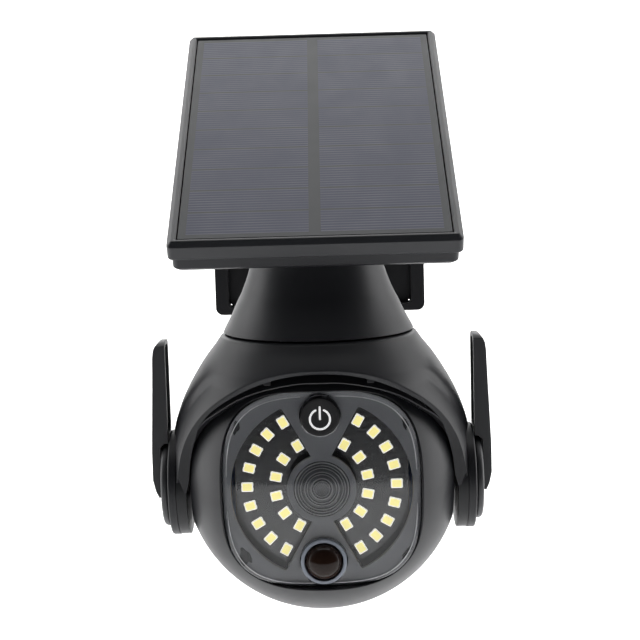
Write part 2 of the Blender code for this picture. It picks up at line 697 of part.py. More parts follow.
board_back = BOARD_FRONT + BOARD_T
board_half = OPENING_HALF - 1.0
board = prism(rounded(board_half, board_half, OPENING_CORNER - 1.0, steps=6), BOARD_FRONT, board_back, ALONG_Y)
for spot in post_spots:
    board = cut(board, rod(1.1, -40, 0, ALONG_Y, spot, 8))
leds = bmesh.new()
for side in (-1, 1):
    for count, radius in ((OUTER_LEDS, OUTER_LED_R), (INNER_LEDS, INNER_LED_R)):
        for i in range(count):
            angle = math.radians(-LED_SPREAD / 2 + LED_SPREAD * i / (count - 1))
            turn = Matrix.Rotation(-angle * side, 4, "Y")
            spot = (side * radius * math.cos(angle), BOARD_FRONT - LED_H / 2 + 0.1, radius * math.sin(angle))
            size = Matrix.Diagonal((LED_LONG, LED_H + 0.2, LED_SHORT, 1.0))
            bmesh.ops.create_cube(leds, size=1.0, matrix=Matrix.Translation(spot) @ turn @ size)
board = join(board, new_object(leds))
place(board, "led_board", "head", "board")
for number, spot in enumerate(post_spots, 1):
    screw = rod(1.8, board_back + GAP, board_back + 1.3, ALONG_Y, spot, 12)
    screw = join(screw, rod(0.8, mask_back + 1.2, board_back + 0.8, ALONG_Y, spot, 8))
    place(screw, f"board_screw_{number}", "head", "steel")

lens_outline = [(0.0, mask_front + 1.4), (2.5, mask_front + 1.0), (3.2, mask_front + 0.3), (4.5, mask_front + 0.9)]
lens_outline += [(5.2, mask_front + 0.2), (6.5, mask_front + 0.8), (7.3, mask_front + 0.1), (LENS_R, mask_front + 0.1)]
lens_outline += [(LENS_R, mask_back + 0.6), (0.0, mask_back + 0.6)]
place(revolve(lens_outline, 24, ALONG_Y), "mock_lens", "head", "clear")

ring_back = mask_back
ring_outline = [(DOME_R + GAP, COVER_FRONT - 0.8), (RING_R, COVER_FRONT - 0.8), (RING_R, ring_back), (DOME_R + GAP, ring_back)]
place(revolve(ring_outline, 32, ALONG_Y, (0.0, SENSOR_Z)), "sensor_ring", "head", "ring")
dome_mid = COVER_FRONT + 0.6
dome_out = []
dome_in = []
for i in range(6):
    angle = math.radians(90 * i / 5)
    dome_out.append((DOME_R * math.cos(angle), dome_mid - 4.8 * math.sin(angle)))
    dome_in.append(((DOME_R - 0.8) * math.cos(angle), dome_mid - 4.0 * math.sin(angle)))
dome_out[-1] = (0.0, dome_out[-1][1])
dome_in[-1] = (0.0, dome_in[-1][1])
dome_outline = [(DOME_R, ring_back)] + dome_out + list(reversed(dome_in)) + [(DOME_R - 0.8, ring_back)]
place(revolve(dome_outline, 24, ALONG_Y, (0.0, SENSOR_Z)), "sensor_dome", "head", "lens")
place(rod(4.1, BOARD_FRONT - 4.5, BOARD_FRONT - GAP, ALONG_Y, (0.0, SENSOR_Z), 24), "sensor_can", "head", "steel")

switch = box((-3.0, BOARD_FRONT - 1.9, BUTTON_Z - 3.0), (3.0, BOARD_FRONT - GAP, BUTTON_Z + 3.0))
switch = join(switch, rod(1.4, BOARD_FRONT - 2.5, BOARD_FRONT - 1.0, ALONG_Y, (0.0, BUTTON_Z), 12))
place(switch, "button_switch", "head", "black")

control = box((-18, -10, -6), (18, -8.4, 18))
for low, high in (
    ((8, board_back + GAP, 10), (16, -9, 13)),
    ((-14, -12.4, 2), (-6, -9, 12)),
    ((-2, -11.6, -3), (6, -9, 5)),
    ((9, -9, -3), (15, -4.5, 3)),
):
    control = join(control, box(low, high))
place(control, "control_board", "head", "board")

cell_spot = (12.0, -10.0)
cell = rod(9.1, -32, 32, ALONG_X, cell_spot, 32)
cell = join(cell, rod(2.8, 31, 33, ALONG_X, cell_spot, 16))
place(cell, "battery_cell", "head", "battery")
cradle = rod(11.0, -26, 26, ALONG_X, cell_spot, 32)
cradle = cut(cradle, rod(9.1 + GAP, -40, 40, ALONG_X, cell_spot, 32))
cradle = cut(cradle, box((-40, -30, -7.0), (40, 60, 30)))
place(cradle, "battery_cradle", "head", "black")

button = rod(BUTTON_R, COVER_FRONT - 0.9, mask_back, ALONG_Y, (0.0, BUTTON_Z), 32)
button = join(button, rod(4.4, mask_back - 1.0, mask_back + 0.6, ALONG_Y, (0.0, BUTTON_Z), 24))
tab_low = (-BUTTON_R - 1.4, mask_back + GAP, BUTTON_Z - 3.0)
button_back = BOARD_FRONT - 2.5 - BUTTON_TRAVEL - GAP
button = join(button, box(tab_low, (BUTTON_R + 1.4, button_back, BUTTON_Z + 3.0)))
place(button, "power_button", "power_button", "black")

# ---------------------------------------------------------------- solar panel, around its hinge
tray_top = UNDERSIDE + TRAY_T
bezel_low = tray_top + GAP
bezel_top = bezel_low + BEZEL_T
mid_s = (PANEL_FRONT + PANEL_REAR) / 2
half_s = (PANEL_REAR - PANEL_FRONT) / 2


def sheet_outline(inset, corner):
    return rounded(PANEL_HALF_X - inset, half_s - inset, corner, (0.0, mid_s), 3)


tray = stack(
    [
        (sheet_outline(TRAY_INSET + 1.2, 1.5), UNDERSIDE),
        (sheet_outline(TRAY_INSET, 2.0), UNDERSIDE + 1.4),
        (sheet_outline(TRAY_INSET, 2.0), tray_top),
    ]
)
inside = sheet_outline(TRAY_INSET + TRAY_WALL, 1.0)
tray = cut(tray, prism(inside, UNDERSIDE + TRAY_FLOOR, tray_top + 5, ALONG_Z))
lug_outline = [(LUG_R, UNDERSIDE + 1.0), (-LUG_R, UNDERSIDE + 1.0)]
for i in range(13):
    angle = math.radians(180 + 180 * i / 12)
    lug_outline.append((LUG_R * math.cos(angle), LUG_R * math.sin(angle)))
for side in (-1, 1):
    tray = join(tray, flip(prism(lug_outline, LUG_IN, LUG_IN + LUG_T, ALONG_X), side))
tray = cut(tray, rod(BOLT_R + HOLE_GAP, -30, 30, ALONG_X, (0.0, 0.0), 16))
screw_x = PANEL_HALF_X - 7.2
corner_spots = [(a, b) for a in (-screw_x, screw_x) for b in (PANEL_FRONT + 7.2, PANEL_REAR - 7.2)]
for spot in corner_spots:
    tray = cut(tray, rod(1.2 + HOLE_GAP, 0, 20, ALONG_Z, spot, 12))
place(tray, "panel_tray", "panel", "housing")

bezel = stack(
    [
        (sheet_outline(0.0, 1.5), bezel_low),
        (sheet_outline(0.0, 1.5), bezel_top - 0.8),
        (sheet_outline(0.8, 1.0), bezel_top),
    ]
)
ledge_top = bezel_low + 2.5
bezel = cut(bezel, prism(sheet_outline(BEZEL_LIP, 0.5), ledge_top, bezel_top + 5, ALONG_Z))
bezel = cut(bezel, prism(sheet_outline(BEZEL_LIP + BEZEL_LEDGE, 0.5), 0, bezel_top, ALONG_Z))
bezel = cut(bezel, prism(sheet_outline(TRAY_WALL, 0.5), 0, bezel_low + 1.1, ALONG_Z))
for spot in corner_spots:
    bezel = join(bezel, rod(3.0, bezel_low, ledge_top - 0.4, ALONG_Z, spot, 16))
    bezel = cut(bezel, rod(1.2 + HOLE_GAP, 0, ledge_top - 1.0, ALONG_Z, spot, 12))
place(bezel, "panel_bezel", "panel", "housing")

pad_low = ledge_top + GAP
pad = prism(sheet_outline(BEZEL_LIP + 0.3, 0.5), pad_low, pad_low + 0.6, ALONG_Z)
pad = cut(pad, prism(sheet_outline(BEZEL_LIP + BEZEL_LEDGE, 0.5), 0, 40, ALONG_Z))
place(pad, "laminate_pad", "panel", "rubber")
laminate_low = pad_low + 0.6 + GAP
laminate = prism(sheet_outline(BEZEL_LIP + 0.4, 0.5), laminate_low, bezel_top - 0.5, ALONG_Z)
place(laminate, "solar_laminate", "panel", "cells")

charge = box((-14, 30, UNDERSIDE + TRAY_FLOOR + GAP), (14, 54, UNDERSIDE + TRAY_FLOOR + 1.9))
charge_top = UNDERSIDE + TRAY_FLOOR + 1.5
charge = join(charge, rod(3.8, charge_top, charge_top + 4.0, ALONG_Z, (6.0, 42.0), 20))
charge = join(charge, box((-10, 34, charge_top), (-3, 40, charge_top + 2.2)))
charge = join(charge, box((-11, 45, charge_top), (-5, 52, charge_top + 3.0)))
place(charge, "charge_board", "panel", "board")
for number, spot in enumerate(corner_spots, 1):
    screw = rod(2.6, UNDERSIDE - GAP - 1.2, UNDERSIDE - GAP, ALONG_Z, spot, 16)
    screw = join(screw, rod(1.2, UNDERSIDE - 1.0, ledge_top - 1.4, ALONG_Z, spot, 12))
    place(screw, f"tray_screw_{number}", "panel", "steel")
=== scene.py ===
import math

import bpy
from mathutils import Matrix, Vector


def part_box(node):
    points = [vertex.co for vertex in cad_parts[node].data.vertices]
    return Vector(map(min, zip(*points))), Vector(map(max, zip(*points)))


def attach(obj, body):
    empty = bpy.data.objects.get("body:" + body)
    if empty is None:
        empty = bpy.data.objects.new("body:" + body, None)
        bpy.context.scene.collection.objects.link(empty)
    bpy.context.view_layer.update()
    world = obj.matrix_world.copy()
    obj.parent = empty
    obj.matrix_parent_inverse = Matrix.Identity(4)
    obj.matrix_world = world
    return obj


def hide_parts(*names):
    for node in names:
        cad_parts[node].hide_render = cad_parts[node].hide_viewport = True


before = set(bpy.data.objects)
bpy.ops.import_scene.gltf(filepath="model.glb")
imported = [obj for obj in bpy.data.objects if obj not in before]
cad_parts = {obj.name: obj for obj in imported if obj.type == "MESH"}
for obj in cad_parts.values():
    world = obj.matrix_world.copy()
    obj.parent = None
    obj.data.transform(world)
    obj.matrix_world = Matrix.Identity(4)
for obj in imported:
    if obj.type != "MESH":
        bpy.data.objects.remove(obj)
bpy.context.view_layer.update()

MM = 0.001

# ------ Camera, lights and floor
# The lamp hangs on its wall mount well above a pale studio floor that sweeps up behind it. The camera
# stands half a metre in front, a little above the head, turned slightly about its own axis.
seal_low, seal_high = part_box("shell_seal")
SEAL_TO_MID = 6.3 * MM
BALL = Vector((0.0, seal_low[1] - SEAL_TO_MID, (seal_low[2] + seal_high[2]) / 2))
CAMERA_BACK = 479.1 * MM
CAMERA_UP = 107.05 * MM
CAMERA_SIDE = 0.61 * MM
CAMERA_PITCH = math.radians(6.94)
CAMERA_ROLL = math.radians(-1.6)
CAMERA_ROUND = math.radians(0.47)

camera_data = bpy.data.cameras.new("camera")
camera_data.lens = 84.4
camera_data.sensor_width = 36.0
camera_data.clip_start = 0.02
camera = bpy.data.objects.new("camera", camera_data)
bpy.context.scene.collection.objects.link(camera)
aim = Matrix.Rotation(math.pi / 2 - CAMERA_PITCH, 4, "X") @ Matrix.Rotation(CAMERA_ROLL, 4, "Z")
stand = Matrix.Rotation(CAMERA_ROUND, 4, "Z") @ Matrix.Translation((CAMERA_SIDE, -CAMERA_BACK, CAMERA_UP))
camera.matrix_world = Matrix.Translation(BALL) @ stand @ aim
bpy.context.scene.camera = camera
bpy.context.scene.view_settings.view_transform = "Standard"

FLOOR_DROP = 0.26
FLOOR_FRONT = 1.15
FLOOR_BACK = 1.6
FLOOR_SIDE = 2.6
FLOOR_RISE = 2.4


def deselect():
    if bpy.context.mode != "OBJECT":
        bpy.ops.object.mode_set(mode="OBJECT")
    bpy.ops.object.select_all(action="DESELECT")


def fit(node, **sockets):
    """Sets a node's sockets by name, each from a value or from another node's output."""
    for key, value in sockets.items():
        socket = node.inputs[key.replace("_", " ")]
        if isinstance(value, bpy.types.NodeSocket):
            node.id_data.links.new(value, socket)
        elif socket.type == "RGBA":
            socket.default_value = (*value, 1.0)
        else:
            socket.default_value = value
    return node


def plain_material(name, colour, rough, metal=0.0, **sockets):
    """A Principled material with one colour, to which a finish adds its own nodes."""
    material = bpy.data.materials.new(name)
    material.use_nodes = True
    shader = material.node_tree.nodes["Principled BSDF"]
    return material, fit(shader, Base_Color=colour, Roughness=rough, Metallic=metal, **sockets)


def chosen(obj):
    """Selects one piece, and makes it the active one."""
    deselect()
    obj.select_set(True)
    bpy.context.view_layer.objects.active = obj


def joined(target, *others):
    """Joins the other pieces into the target."""
    chosen(target)
    for piece in others:
        piece.select_set(True)
    bpy.ops.object.join()
    return target


def added(near, kind, **sockets):
    """A new node in the same tree as the one it is near, with its sockets set."""
    return fit(near.id_data.nodes.new("ShaderNode" + kind), **sockets)


def mixed(factor, first, second):
    node = added(factor, "Mix")
    node.data_type = "RGBA"
    return fit(node, Factor=factor, A=first, B=second).outputs["Result"]


def ranged(value, low, high, out_low=0.0, out_high=1.0, shape="LINEAR"):
    limits = {"From_Min": low, "From_Max": high, "To_Min": out_low, "To_Max": out_high}
    node = added(value, "MapRange", Value=value, **limits)
    node.interpolation_type = shape
    return node.outputs["Result"]


def noise(place, scale, detail=2.0, rough=0.5):
    return added(place, "TexNoise", Vector=place, Scale=scale, Detail=detail, Roughness=rough).outputs["Fac"]


def own_place(near):
    return added(near, "TexCoord").outputs["Object"]


def in_millimetres(near, origin, turn=(0.0, 0.0, 0.0)):
    """Object coordinates in millimetres from the origin, along the turned axes."""
    node = added(near, "Mapping")
    node.vector_type = "TEXTURE"
    fit(node, Vector=own_place(near), Location=origin, Rotation=turn, Scale=(MM, MM, MM))
    return node.outputs["Vector"]


def bumped(shader, height, strength, depth):
    """Raises the surface by a height, its depth in millimetres."""
    bump = added(height, "Bump", Strength=strength, Distance=depth * MM, Height=height)
    fit(shader, Normal=bump.outputs["Normal"])


deselect()
floor_mid = (0.0, BALL.y + (FLOOR_BACK - FLOOR_FRONT) / 2, BALL.z - FLOOR_DROP)
bpy.ops.mesh.primitive_plane_add(size=1.0, location=floor_mid)
floor = bpy.context.object
floor.name = "floor"
floor.scale = (2 * FLOOR_SIDE, FLOOR_BACK + FLOOR_FRONT, 1.0)
bpy.ops.object.transform_apply(location=True, rotation=True, scale=True)
bpy.ops.object.mode_set(mode="EDIT")
bpy.ops.mesh.select_mode(type="EDGE")
bpy.ops.mesh.select_all(action="DESELECT")
bpy.ops.object.mode_set(mode="OBJECT")
back_line = max(vert.co.y for vert in floor.data.vertices)
for edge in floor.data.edges:
    edge.select = all(floor.data.vertices[i].co.y > back_line - 0.001 for i in edge.vertices)
bpy.ops.object.mode_set(mode="EDIT")
bpy.ops.mesh.extrude_region_move(TRANSFORM_OT_translate={"value": (0, 0.2, FLOOR_RISE)})
bpy.ops.object.mode_set(mode="OBJECT")
sweep = floor.modifiers.new("sweep", "BEVEL")
sweep.width = 0.9
sweep.segments = 16
sweep.limit_method = "ANGLE"
bpy.ops.object.modifier_apply(modifier=sweep.name)
bpy.ops.object.shade_smooth()
glow = {"Emission_Color": (1.0, 1.0, 1.0), "Emission_Strength": 0.62, "Specular_IOR_Level": 0.1}
floor.data.materials.append(plain_material("studio_paper", (0.8, 0.8, 0.8), 0.8, **glow)[0])


def area_light(name, place, target, size, power):
    data = bpy.data.lights.new(name, "AREA")
    data.shape = "RECTANGLE"
    data.size = size[0]
    data.size_y = size[1]
    data.energy = power
    light = bpy.data.objects.new(name, data)
    bpy.context.scene.collection.objects.link(light)
    light.location = BALL + Vector(place)
    away = Vector(target) - Vector(place)
    light.rotation_euler = away.to_track_quat("-Z", "Y").to_euler()


area_light("top_light", (0.0, 0.35, 1.5), (0.0, 0.1, 0.0), (1.8, 1.5), 13.0)
for side, name in ((-1, "left_light"), (1, "right_light")):
    area_light(name, (side * 1.2, 0.35, 0.3), (0.0, 0.0, 0.0), (0.8, 1.3), 8.0)
area_light("back_light", (0.0, 1.0, 1.3), (0.0, 1.9, 0.2), (2.4, 0.8), 26.0)

world = bpy.data.worlds.new("studio")
world.use_nodes = True
sky = world.node_tree
way = added(sky, "SeparateXYZ", Vector=added(sky, "TexCoord").outputs["Generated"])
shade = added(sky, "ValToRGB", Fac=ranged(way.outputs["Y"], -1.0, 1.0))
AHEAD, BEHIND = (0.06, 0.06, 0.065, 1.0), (0.95, 0.95, 0.97, 1.0)
for stop, place, colour in zip(shade.color_ramp.elements, (0.28, 0.62), (AHEAD, BEHIND)):
    stop.position = place
    stop.color = colour
seen = added(sky, "LightPath").outputs["Is Camera Ray"]
sky_colour = mixed(seen, shade.outputs["Color"], (1.9, 1.9, 1.9))
fit(sky.nodes["Background"], Color=sky_colour, Strength=0.55)
bpy.context.scene.world = world

# ------ Neck and arm
# One matt black moulding: a flared neck whose slanted top leaves room for the panel, and a hollow
# arm from its back to a foot that four screws hold in the wall bracket.
NECK_SIDE = [
    (45.8, 30.7), (48.2, 29.4), (51.8, 27.5), (55.7, 25.7), (58.6, 24.2),
    (65.4, 21.7), (72.0, 20.3), (80.0, 19.6), (92.0, 19.3),
]
NECK_WALL = 2.4
HINGE = (2.0, 76.6)
PANEL_TILT = math.radians(32.4)
NECK_TOP = 81.8


def smooth_between(table, at):
    """Value at a height on a list of (height, value), on a curve through the points."""
    rows = sorted(table)
    at = min(max(at, rows[0][0]), rows[-1][0])
    index = 0
    while index < len(rows) - 2 and at > rows[index + 1][0]:
        index += 1
    (z0, v0), (z1, v1) = rows[index], rows[index + 1]
    chord = (v1 - v0) / (z1 - z0)
    slopes = []
    for k in (index, index + 1):
        if 0 < k < len(rows) - 1:
            slopes.append((rows[k + 1][1] - rows[k - 1][1]) / (rows[k + 1][0] - rows[k - 1][0]))
        else:
            slopes.append(chord)
    t = (at - z0) / (z1 - z0)
    span = z1 - z0
    return (
        (2 * t**3 - 3 * t**2 + 1) * v0 + (t**3 - 2 * t**2 + t) * span * slopes[0]
        + (3 * t**2 - 2 * t**3) * v1 + (t**3 - t**2) * span * slopes[1]
    )


def settle(obj, name):
    """Millimetres around the ball to metres in place, doubles merged, faces outwards."""
    obj.name = name
    obj.data.name = name
    obj.data.transform(Matrix.Translation(BALL) @ Matrix.Scale(MM, 4))
    chosen(obj)
    bpy.ops.object.mode_set(mode="EDIT")
    bpy.ops.mesh.select_all(action="SELECT")
    bpy.ops.mesh.remove_doubles(threshold=0.000002)
    bpy.ops.mesh.dissolve_degenerate(threshold=0.000001)
    bpy.ops.mesh.normals_make_consistent(inside=False)
    bpy.ops.object.mode_set(mode="OBJECT")
    return obj


def closed_sweep(name, columns, section):
    """A ring of closed sections: section(angle) lists the same number of places for each angle."""
    deselect()
    count = len(section(0.0))
    bpy.ops.mesh.primitive_torus_add(
        major_segments=columns, minor_segments=count, major_radius=50.0, minor_radius=5.0, location=(0, 0, 0)
    )
    obj = bpy.context.object
    for i in range(columns):
        for j, spot in enumerate(section(2 * math.pi * i / columns)):
            obj.data.vertices[i * count + j].co = spot
    return settle(obj, name)


def turned(name, columns, profile, axis="Z", at=(0.0, 0.0)):
    """A piece as from a lathe: profile is (radius, distance along the axis)."""

    def section(angle):
        c, s = math.cos(angle), math.sin(angle)
        spots = []
        for radius, along in profile:
            a, b = at[0] + radius * c, at[1] + radius * s
            spots.append({"Z": (a, b, along), "Y": (a, along, b), "X": (along, a, b)}[axis])
        return spots

    return closed_sweep(name, columns, section)


def sawn(name, outline, low, high, axis="Y"):
    """A flat outline given thickness along an axis."""
    deselect()
    bpy.ops.mesh.primitive_circle_add(vertices=len(outline), radius=10.0, fill_type="NGON")
    obj = bpy.context.object
    for vert, (a, b) in zip(obj.data.vertices, outline):
        vert.co = {"Z": (a, b, low), "Y": (a, low, b), "X": (low, a, b)}[axis]
    along = {"Z": (0, 0, high - low), "Y": (0, high - low, 0), "X": (high - low, 0, 0)}[axis]
    bpy.ops.object.mode_set(mode="EDIT")
    bpy.ops.mesh.select_all(action="SELECT")
    bpy.ops.mesh.extrude_region_move(TRANSFORM_OT_translate={"value": along})
    bpy.ops.object.mode_set(mode="OBJECT")
    return settle(obj, name)


def oblong(half, low, high, middle=0.0):
    return [(middle - half, low), (middle + half, low), (middle + half, high), (middle - half, high)]


def arc(radius, first, last, steps):
    """Places on a circle from the first angle to the last, both kept."""
    turns = [first + (last - first) * i / steps for i in range(steps + 1)]
    return [(radius * math.cos(t), radius * math.sin(t)) for t in turns]


def round_edge(radius, front, soft, steps=6):
    """The low outer edge of a turned piece, rounded off."""
    return [(radius - soft + a, front + soft - b) for a, b in arc(soft, 0.0, math.pi / 2, steps)[1:]]


def disc_outline(radius, count, at=(0.0, 0.0)):
    return [(at[0] + a, at[1] + b) for a, b in arc(radius, 0.0, 2 * math.pi, count)[:-1]]


def rounded_outline(half_a, half_b, corner, at=(0.0, 0.0), steps=8):
    outline = []
    for quarter, (side_a, side_b) in enumerate([(1, 1), (-1, 1), (-1, -1), (1, -1)]):
        for i in range(steps + 1):
            angle = math.pi / 2 * (quarter + i / steps)
            a = at[0] + side_a * (half_a - corner) + corner * math.cos(angle)
            b = at[1] + side_b * (half_b - corner) + corner * math.sin(angle)
            outline.append((a, b))
    return outline


def apply_all(obj):
    chosen(obj)
    for modifier in list(obj.modifiers):
        bpy.ops.object.modifier_apply(modifier=modifier.name)


def carve(obj, cutter, operation="DIFFERENCE"):
    """Cuts obj with the cutter, or joins them, and uses the cutter up."""
    modifier = obj.modifiers.new("carve", "BOOLEAN")
    modifier.operation = operation
    modifier.solver = "EXACT"
    modifier.object = cutter
    apply_all(obj)
    bpy.data.objects.remove(cutter, do_unlink=True)
    return obj


def ease(obj, width=0.3, segments=2, angle=35.0, smooth=32.0):
    """Breaks the sharp edges and shades the rest smooth."""
    if width:
        modifier = obj.modifiers.new("ease", "BEVEL")
        modifier.width = width * MM
        modifier.segments = segments
        modifier.limit_method = "ANGLE"
        modifier.angle_limit = math.radians(angle)
        modifier.use_clamp_overlap = True
    apply_all(obj)
    bpy.ops.object.shade_smooth_by_angle(angle=math.radians(smooth))
    evened = obj.modifiers.new("evened", "WEIGHTED_NORMAL")
    evened.keep_sharp = True
    bpy.ops.object.modifier_apply(modifier=evened.name)
    return obj


def flatten(obj, angle=0.4, merge=False):
    """Makes the flat faces whole again."""
    chosen(obj)
    bpy.ops.object.mode_set(mode="EDIT")
    bpy.ops.mesh.select_all(action="SELECT")
    if merge:
        bpy.ops.mesh.remove_doubles(threshold=0.000002)
    bpy.ops.mesh.dissolve_limited(angle_limit=math.radians(angle))
    bpy.ops.object.mode_set(mode="OBJECT")
    return obj


def moulded(name, colour, rough, grain=0.22, depth=0.012, coat=0.0, sheen=0.3):
    """Moulded plastic: fine spark-eroded grain, slow changes of gloss, and a trace of colour change."""
    material, shader = plain_material(name, colour, rough)
    place = own_place(shader)
    slow = noise(place, 38.0, 4.0)
    bumped(shader, noise(place, 1.0 / (grain * MM), 3.0, 0.6), 0.55, depth)
    dark, light = [[min(1.0, c * share) for c in colour] for share in (0.88, 1.14)]
    fit(
        shader, Base_Color=mixed(slow, dark, light), Specular_IOR_Level=sheen,
        Roughness=ranged(slow, 0.3, 0.7, rough - 0.05, rough + 0.06),
        Coat_Weight=coat, Coat_Roughness=0.25,
    )
    return material


housing = moulded("housing_plastic", (0.015, 0.0155, 0.018), 0.42)


def finish(obj, material, body, slot, *nodes):
    if material:
        obj.data.materials.clear()
        obj.data.materials.append(material)
    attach(obj, body)
    if nodes:
        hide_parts(*nodes)
    return obj


def neck_inside(z):
    return (smooth_between(NECK_SIDE, z) - NECK_WALL, z)


neck_low, neck_high = NECK_SIDE[0][0], NECK_SIDE[-1][0]
neck_rows = [neck_low + i * (neck_high - neck_low) / 40 for i in range(41)]
neck_skin = [(29.9, 45.8), (30.45, 46.05)]
neck_skin += [(smooth_between(NECK_SIDE, z), z) for z in neck_rows if z > 46.4]
neck_core = [(0.0, neck_high), (0.0, 61.0), neck_inside(61.0), neck_inside(53.5), (12.9, 53.5), (12.9, 51.0)]
neck_core += [neck_inside(51.0), (28.3, 45.8)]
neck = turned("neck_arm_shown", 144, neck_skin + neck_core)
plate_low, plate_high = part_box("wall_bracket")
to_wall = (plate_high[1] - BALL.y) / MM
pocket_back = to_wall - 3.5
foot_back = pocket_back - 0.3
foot_front = foot_back - 3.2
ARM_HALF, ARM_LOW, ARM_TOP = 17.0, 52.0, 76.0
arm = sawn("arm", oblong(ARM_HALF, ARM_LOW, ARM_TOP), 17.0, foot_front + 1.0)
arm = carve(arm, sawn("arm_hollow", oblong(ARM_HALF - 2.5, 40.0, ARM_TOP - 2.5), 32.0, foot_front - 3.0))
arm = carve(arm, sawn("arm_rib", oblong(1.25, ARM_LOW + 1.0, ARM_TOP - 1.0), 30.0, foot_front), "UNION")
foot = sawn("arm_foot", rounded_outline(25.0, 19.0, 3.0, (0.0, 67.0)), foot_front, foot_back)
arm = carve(arm, foot, "UNION")
ease(arm, 0.5, 3)
inner_neck = [(0.0, 40.0), (28.3, 40.0), (28.3, 45.8), (25.5, 51.0), (18.2, 63.0), (0.0, 63.0)]
arm = carve(arm, turned("inner_neck", 96, inner_neck))
well_low = HINGE[1] - 8.0
neck = carve(neck, sawn("hinge_well", oblong(13.2, well_low, 120.0), HINGE[0] - 9.0, HINGE[0] + 9.0))
neck = carve(neck, sawn("above_neck", oblong(40.0, NECK_TOP, 120.0), -50.0, 50.0))
slant = sawn("slant", oblong(60.0, 5.2, 60.0), -60.0, 90.0)
hinge_place = BALL + Vector((0.0, HINGE[0], HINGE[1])) * MM
slant.data.transform(Matrix.Translation(-BALL))
slant.data.transform(Matrix.Translation(hinge_place) @ Matrix.Rotation(PANEL_TILT, 4, "X"))
neck = carve(neck, slant)
ease(neck, 0.45, 3, 40.0)
KNUCKLE_R, KNUCKLE_HALF = 4.7, 5.0
knuckle = sawn("knuckle", disc_outline(KNUCKLE_R, 48, HINGE), -KNUCKLE_HALF, KNUCKLE_HALF, "X")
stem = oblong(KNUCKLE_R, well_low - 1.0, HINGE[1], HINGE[0])
knuckle = carve(knuckle, sawn("stem", stem, -KNUCKLE_HALF, KNUCKLE_HALF, "X"), "UNION")
knuckle = carve(knuckle, sawn("bore", disc_outline(2.2, 32, HINGE), -20.0, 20.0, "X"))
ease(knuckle, 0.3, 2)
joined(neck, arm, knuckle)
finish(neck, housing, "mount", "housing", "neck_arm")


def reworked(node, body, slot, material, width=0.3, segments=2):
    """A copy of a CAD node with its flat faces made whole and its edges broken."""
    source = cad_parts[node]
    obj = source.copy()
    obj.data = source.data.copy()
    obj.modifiers.clear()
    obj.parent = None
    obj.matrix_world = Matrix.Identity(4)
    bpy.context.scene.collection.objects.link(obj)
    obj.name = node + "_shown"
    flatten(obj, 1.0, True)
    ease(obj, width, segments)
    return finish(obj, material, body, slot, node)


# ------ Wall bracket
# A moulded plate with a raised border round a shallow pocket. Four screws go through it into the
# wall, four more hold the arm's foot in the pocket, and two pinholes drain its lower corners.
bracket_plastic = moulded("bracket_plastic", (0.016, 0.016, 0.018), 0.5)
reworked("wall_bracket", "mount", "housing", bracket_plastic, 0.5, 3)

# ------ Yoke
# The bell that hangs from the neck and turns under it, in one matt moulding with its two ears. The
# lower edge rises in an arch at the front and back, with a rounded lip.
BELL_SIDE = [
    (45.4, 31.0), (42.3, 33.1), (38.5, 36.1), (34.5, 38.8), (28.5, 42.3),
    (22.8, 44.9), (15.5, 47.3), (8.0, 48.4), (0.0, 48.8),
]
BELL_WALL = 2.2
EAR_R = 17.0
EAR_Z = -3.0
EAR_OUT = 48.8
ARCH_SIDE = [(37.6, 36.5), (35.6, 34.5), (29.6, 30.0), (21.5, 24.0), (12.0, 19.5), (2.0, 17.5), (-6.0, 17.3)]
LIP_ROUND = 0.4
CREASE_DEPTH = 1.2
CREASE_BACK = 6.5
CREASE_FRONT = 32.0


def bell_radius(z):
    return smooth_between(BELL_SIDE, max(z, 0.0))


def rim_wall(z):
    """Thickness of the yoke at its edge, more where the sides face forward than at the brow."""
    walls = [(-4.0, 2.3), (1.0, 2.5), (8.0, 3.4), (17.5, 3.4), (21.5, 2.4), (33.0, 2.3), (38.0, 2.2)]
    return smooth_between(walls, z)


def lower_edge(angle, wall=0.0):
    """Height of the yoke's lower edge, where a straight cut from side to side meets the wall."""
    reach = abs(math.cos(angle))
    z = 37.6
    while z > -4.0:
        depth = (bell_radius(z) - wall) * reach
        if depth >= smooth_between(ARCH_SIDE, z):
            break
        z -= 0.05
    side = bell_radius(max(z, 0.0)) * reach
    if side < EAR_R + 0.4:
        over = max(0.0, EAR_R**2 - side**2)
        return max(z, EAR_Z + math.sqrt(over) - 1.4)
    return z


def rounded_corner(first, corner, last, steps=3):
    """Places on a soft bend from first to last, round the corner."""
    first, corner, last = Vector(first), Vector(corner), Vector(last)
    shares = [k / steps for k in range(steps + 1)]
    return [tuple(first * (1 - t) ** 2 + corner * 2 * t * (1 - t) + last * t**2) for t in shares]


CREASE_LINE = [(36.0, 52.0), (32.0, 58.6), (26.0, 67.5), (20.7, 74.4), (14.0, 78.8), (6.0, 82.0)]


def crease(angle, z):
    """Depth of the soft shoulder in front of each ear's arm, steep behind and shallow in front."""
    turn = math.degrees(math.acos(min(1.0, abs(math.cos(angle)))))
    gap = turn - smooth_between(CREASE_LINE, z)
    width = CREASE_BACK if gap > 0 else CREASE_FRONT
    fade = min(1.0, max(0.0, (35.5 - z) / 4.0)) * min(1.0, max(0.0, (z - 2.0) / 14.0))
    return CREASE_DEPTH * fade * math.exp(-((gap / width) ** 2))


BELL_ROWS = 64
BELL_TOP = 44.7
SPIGOT = [
    (8.0, 54.0), (12.6, 54.0), (12.6, 49.5), (25.2, 49.5),
    (27.6, 45.45), (29.9, 45.4), (30.6, 45.2), (31.1, 44.9),
]


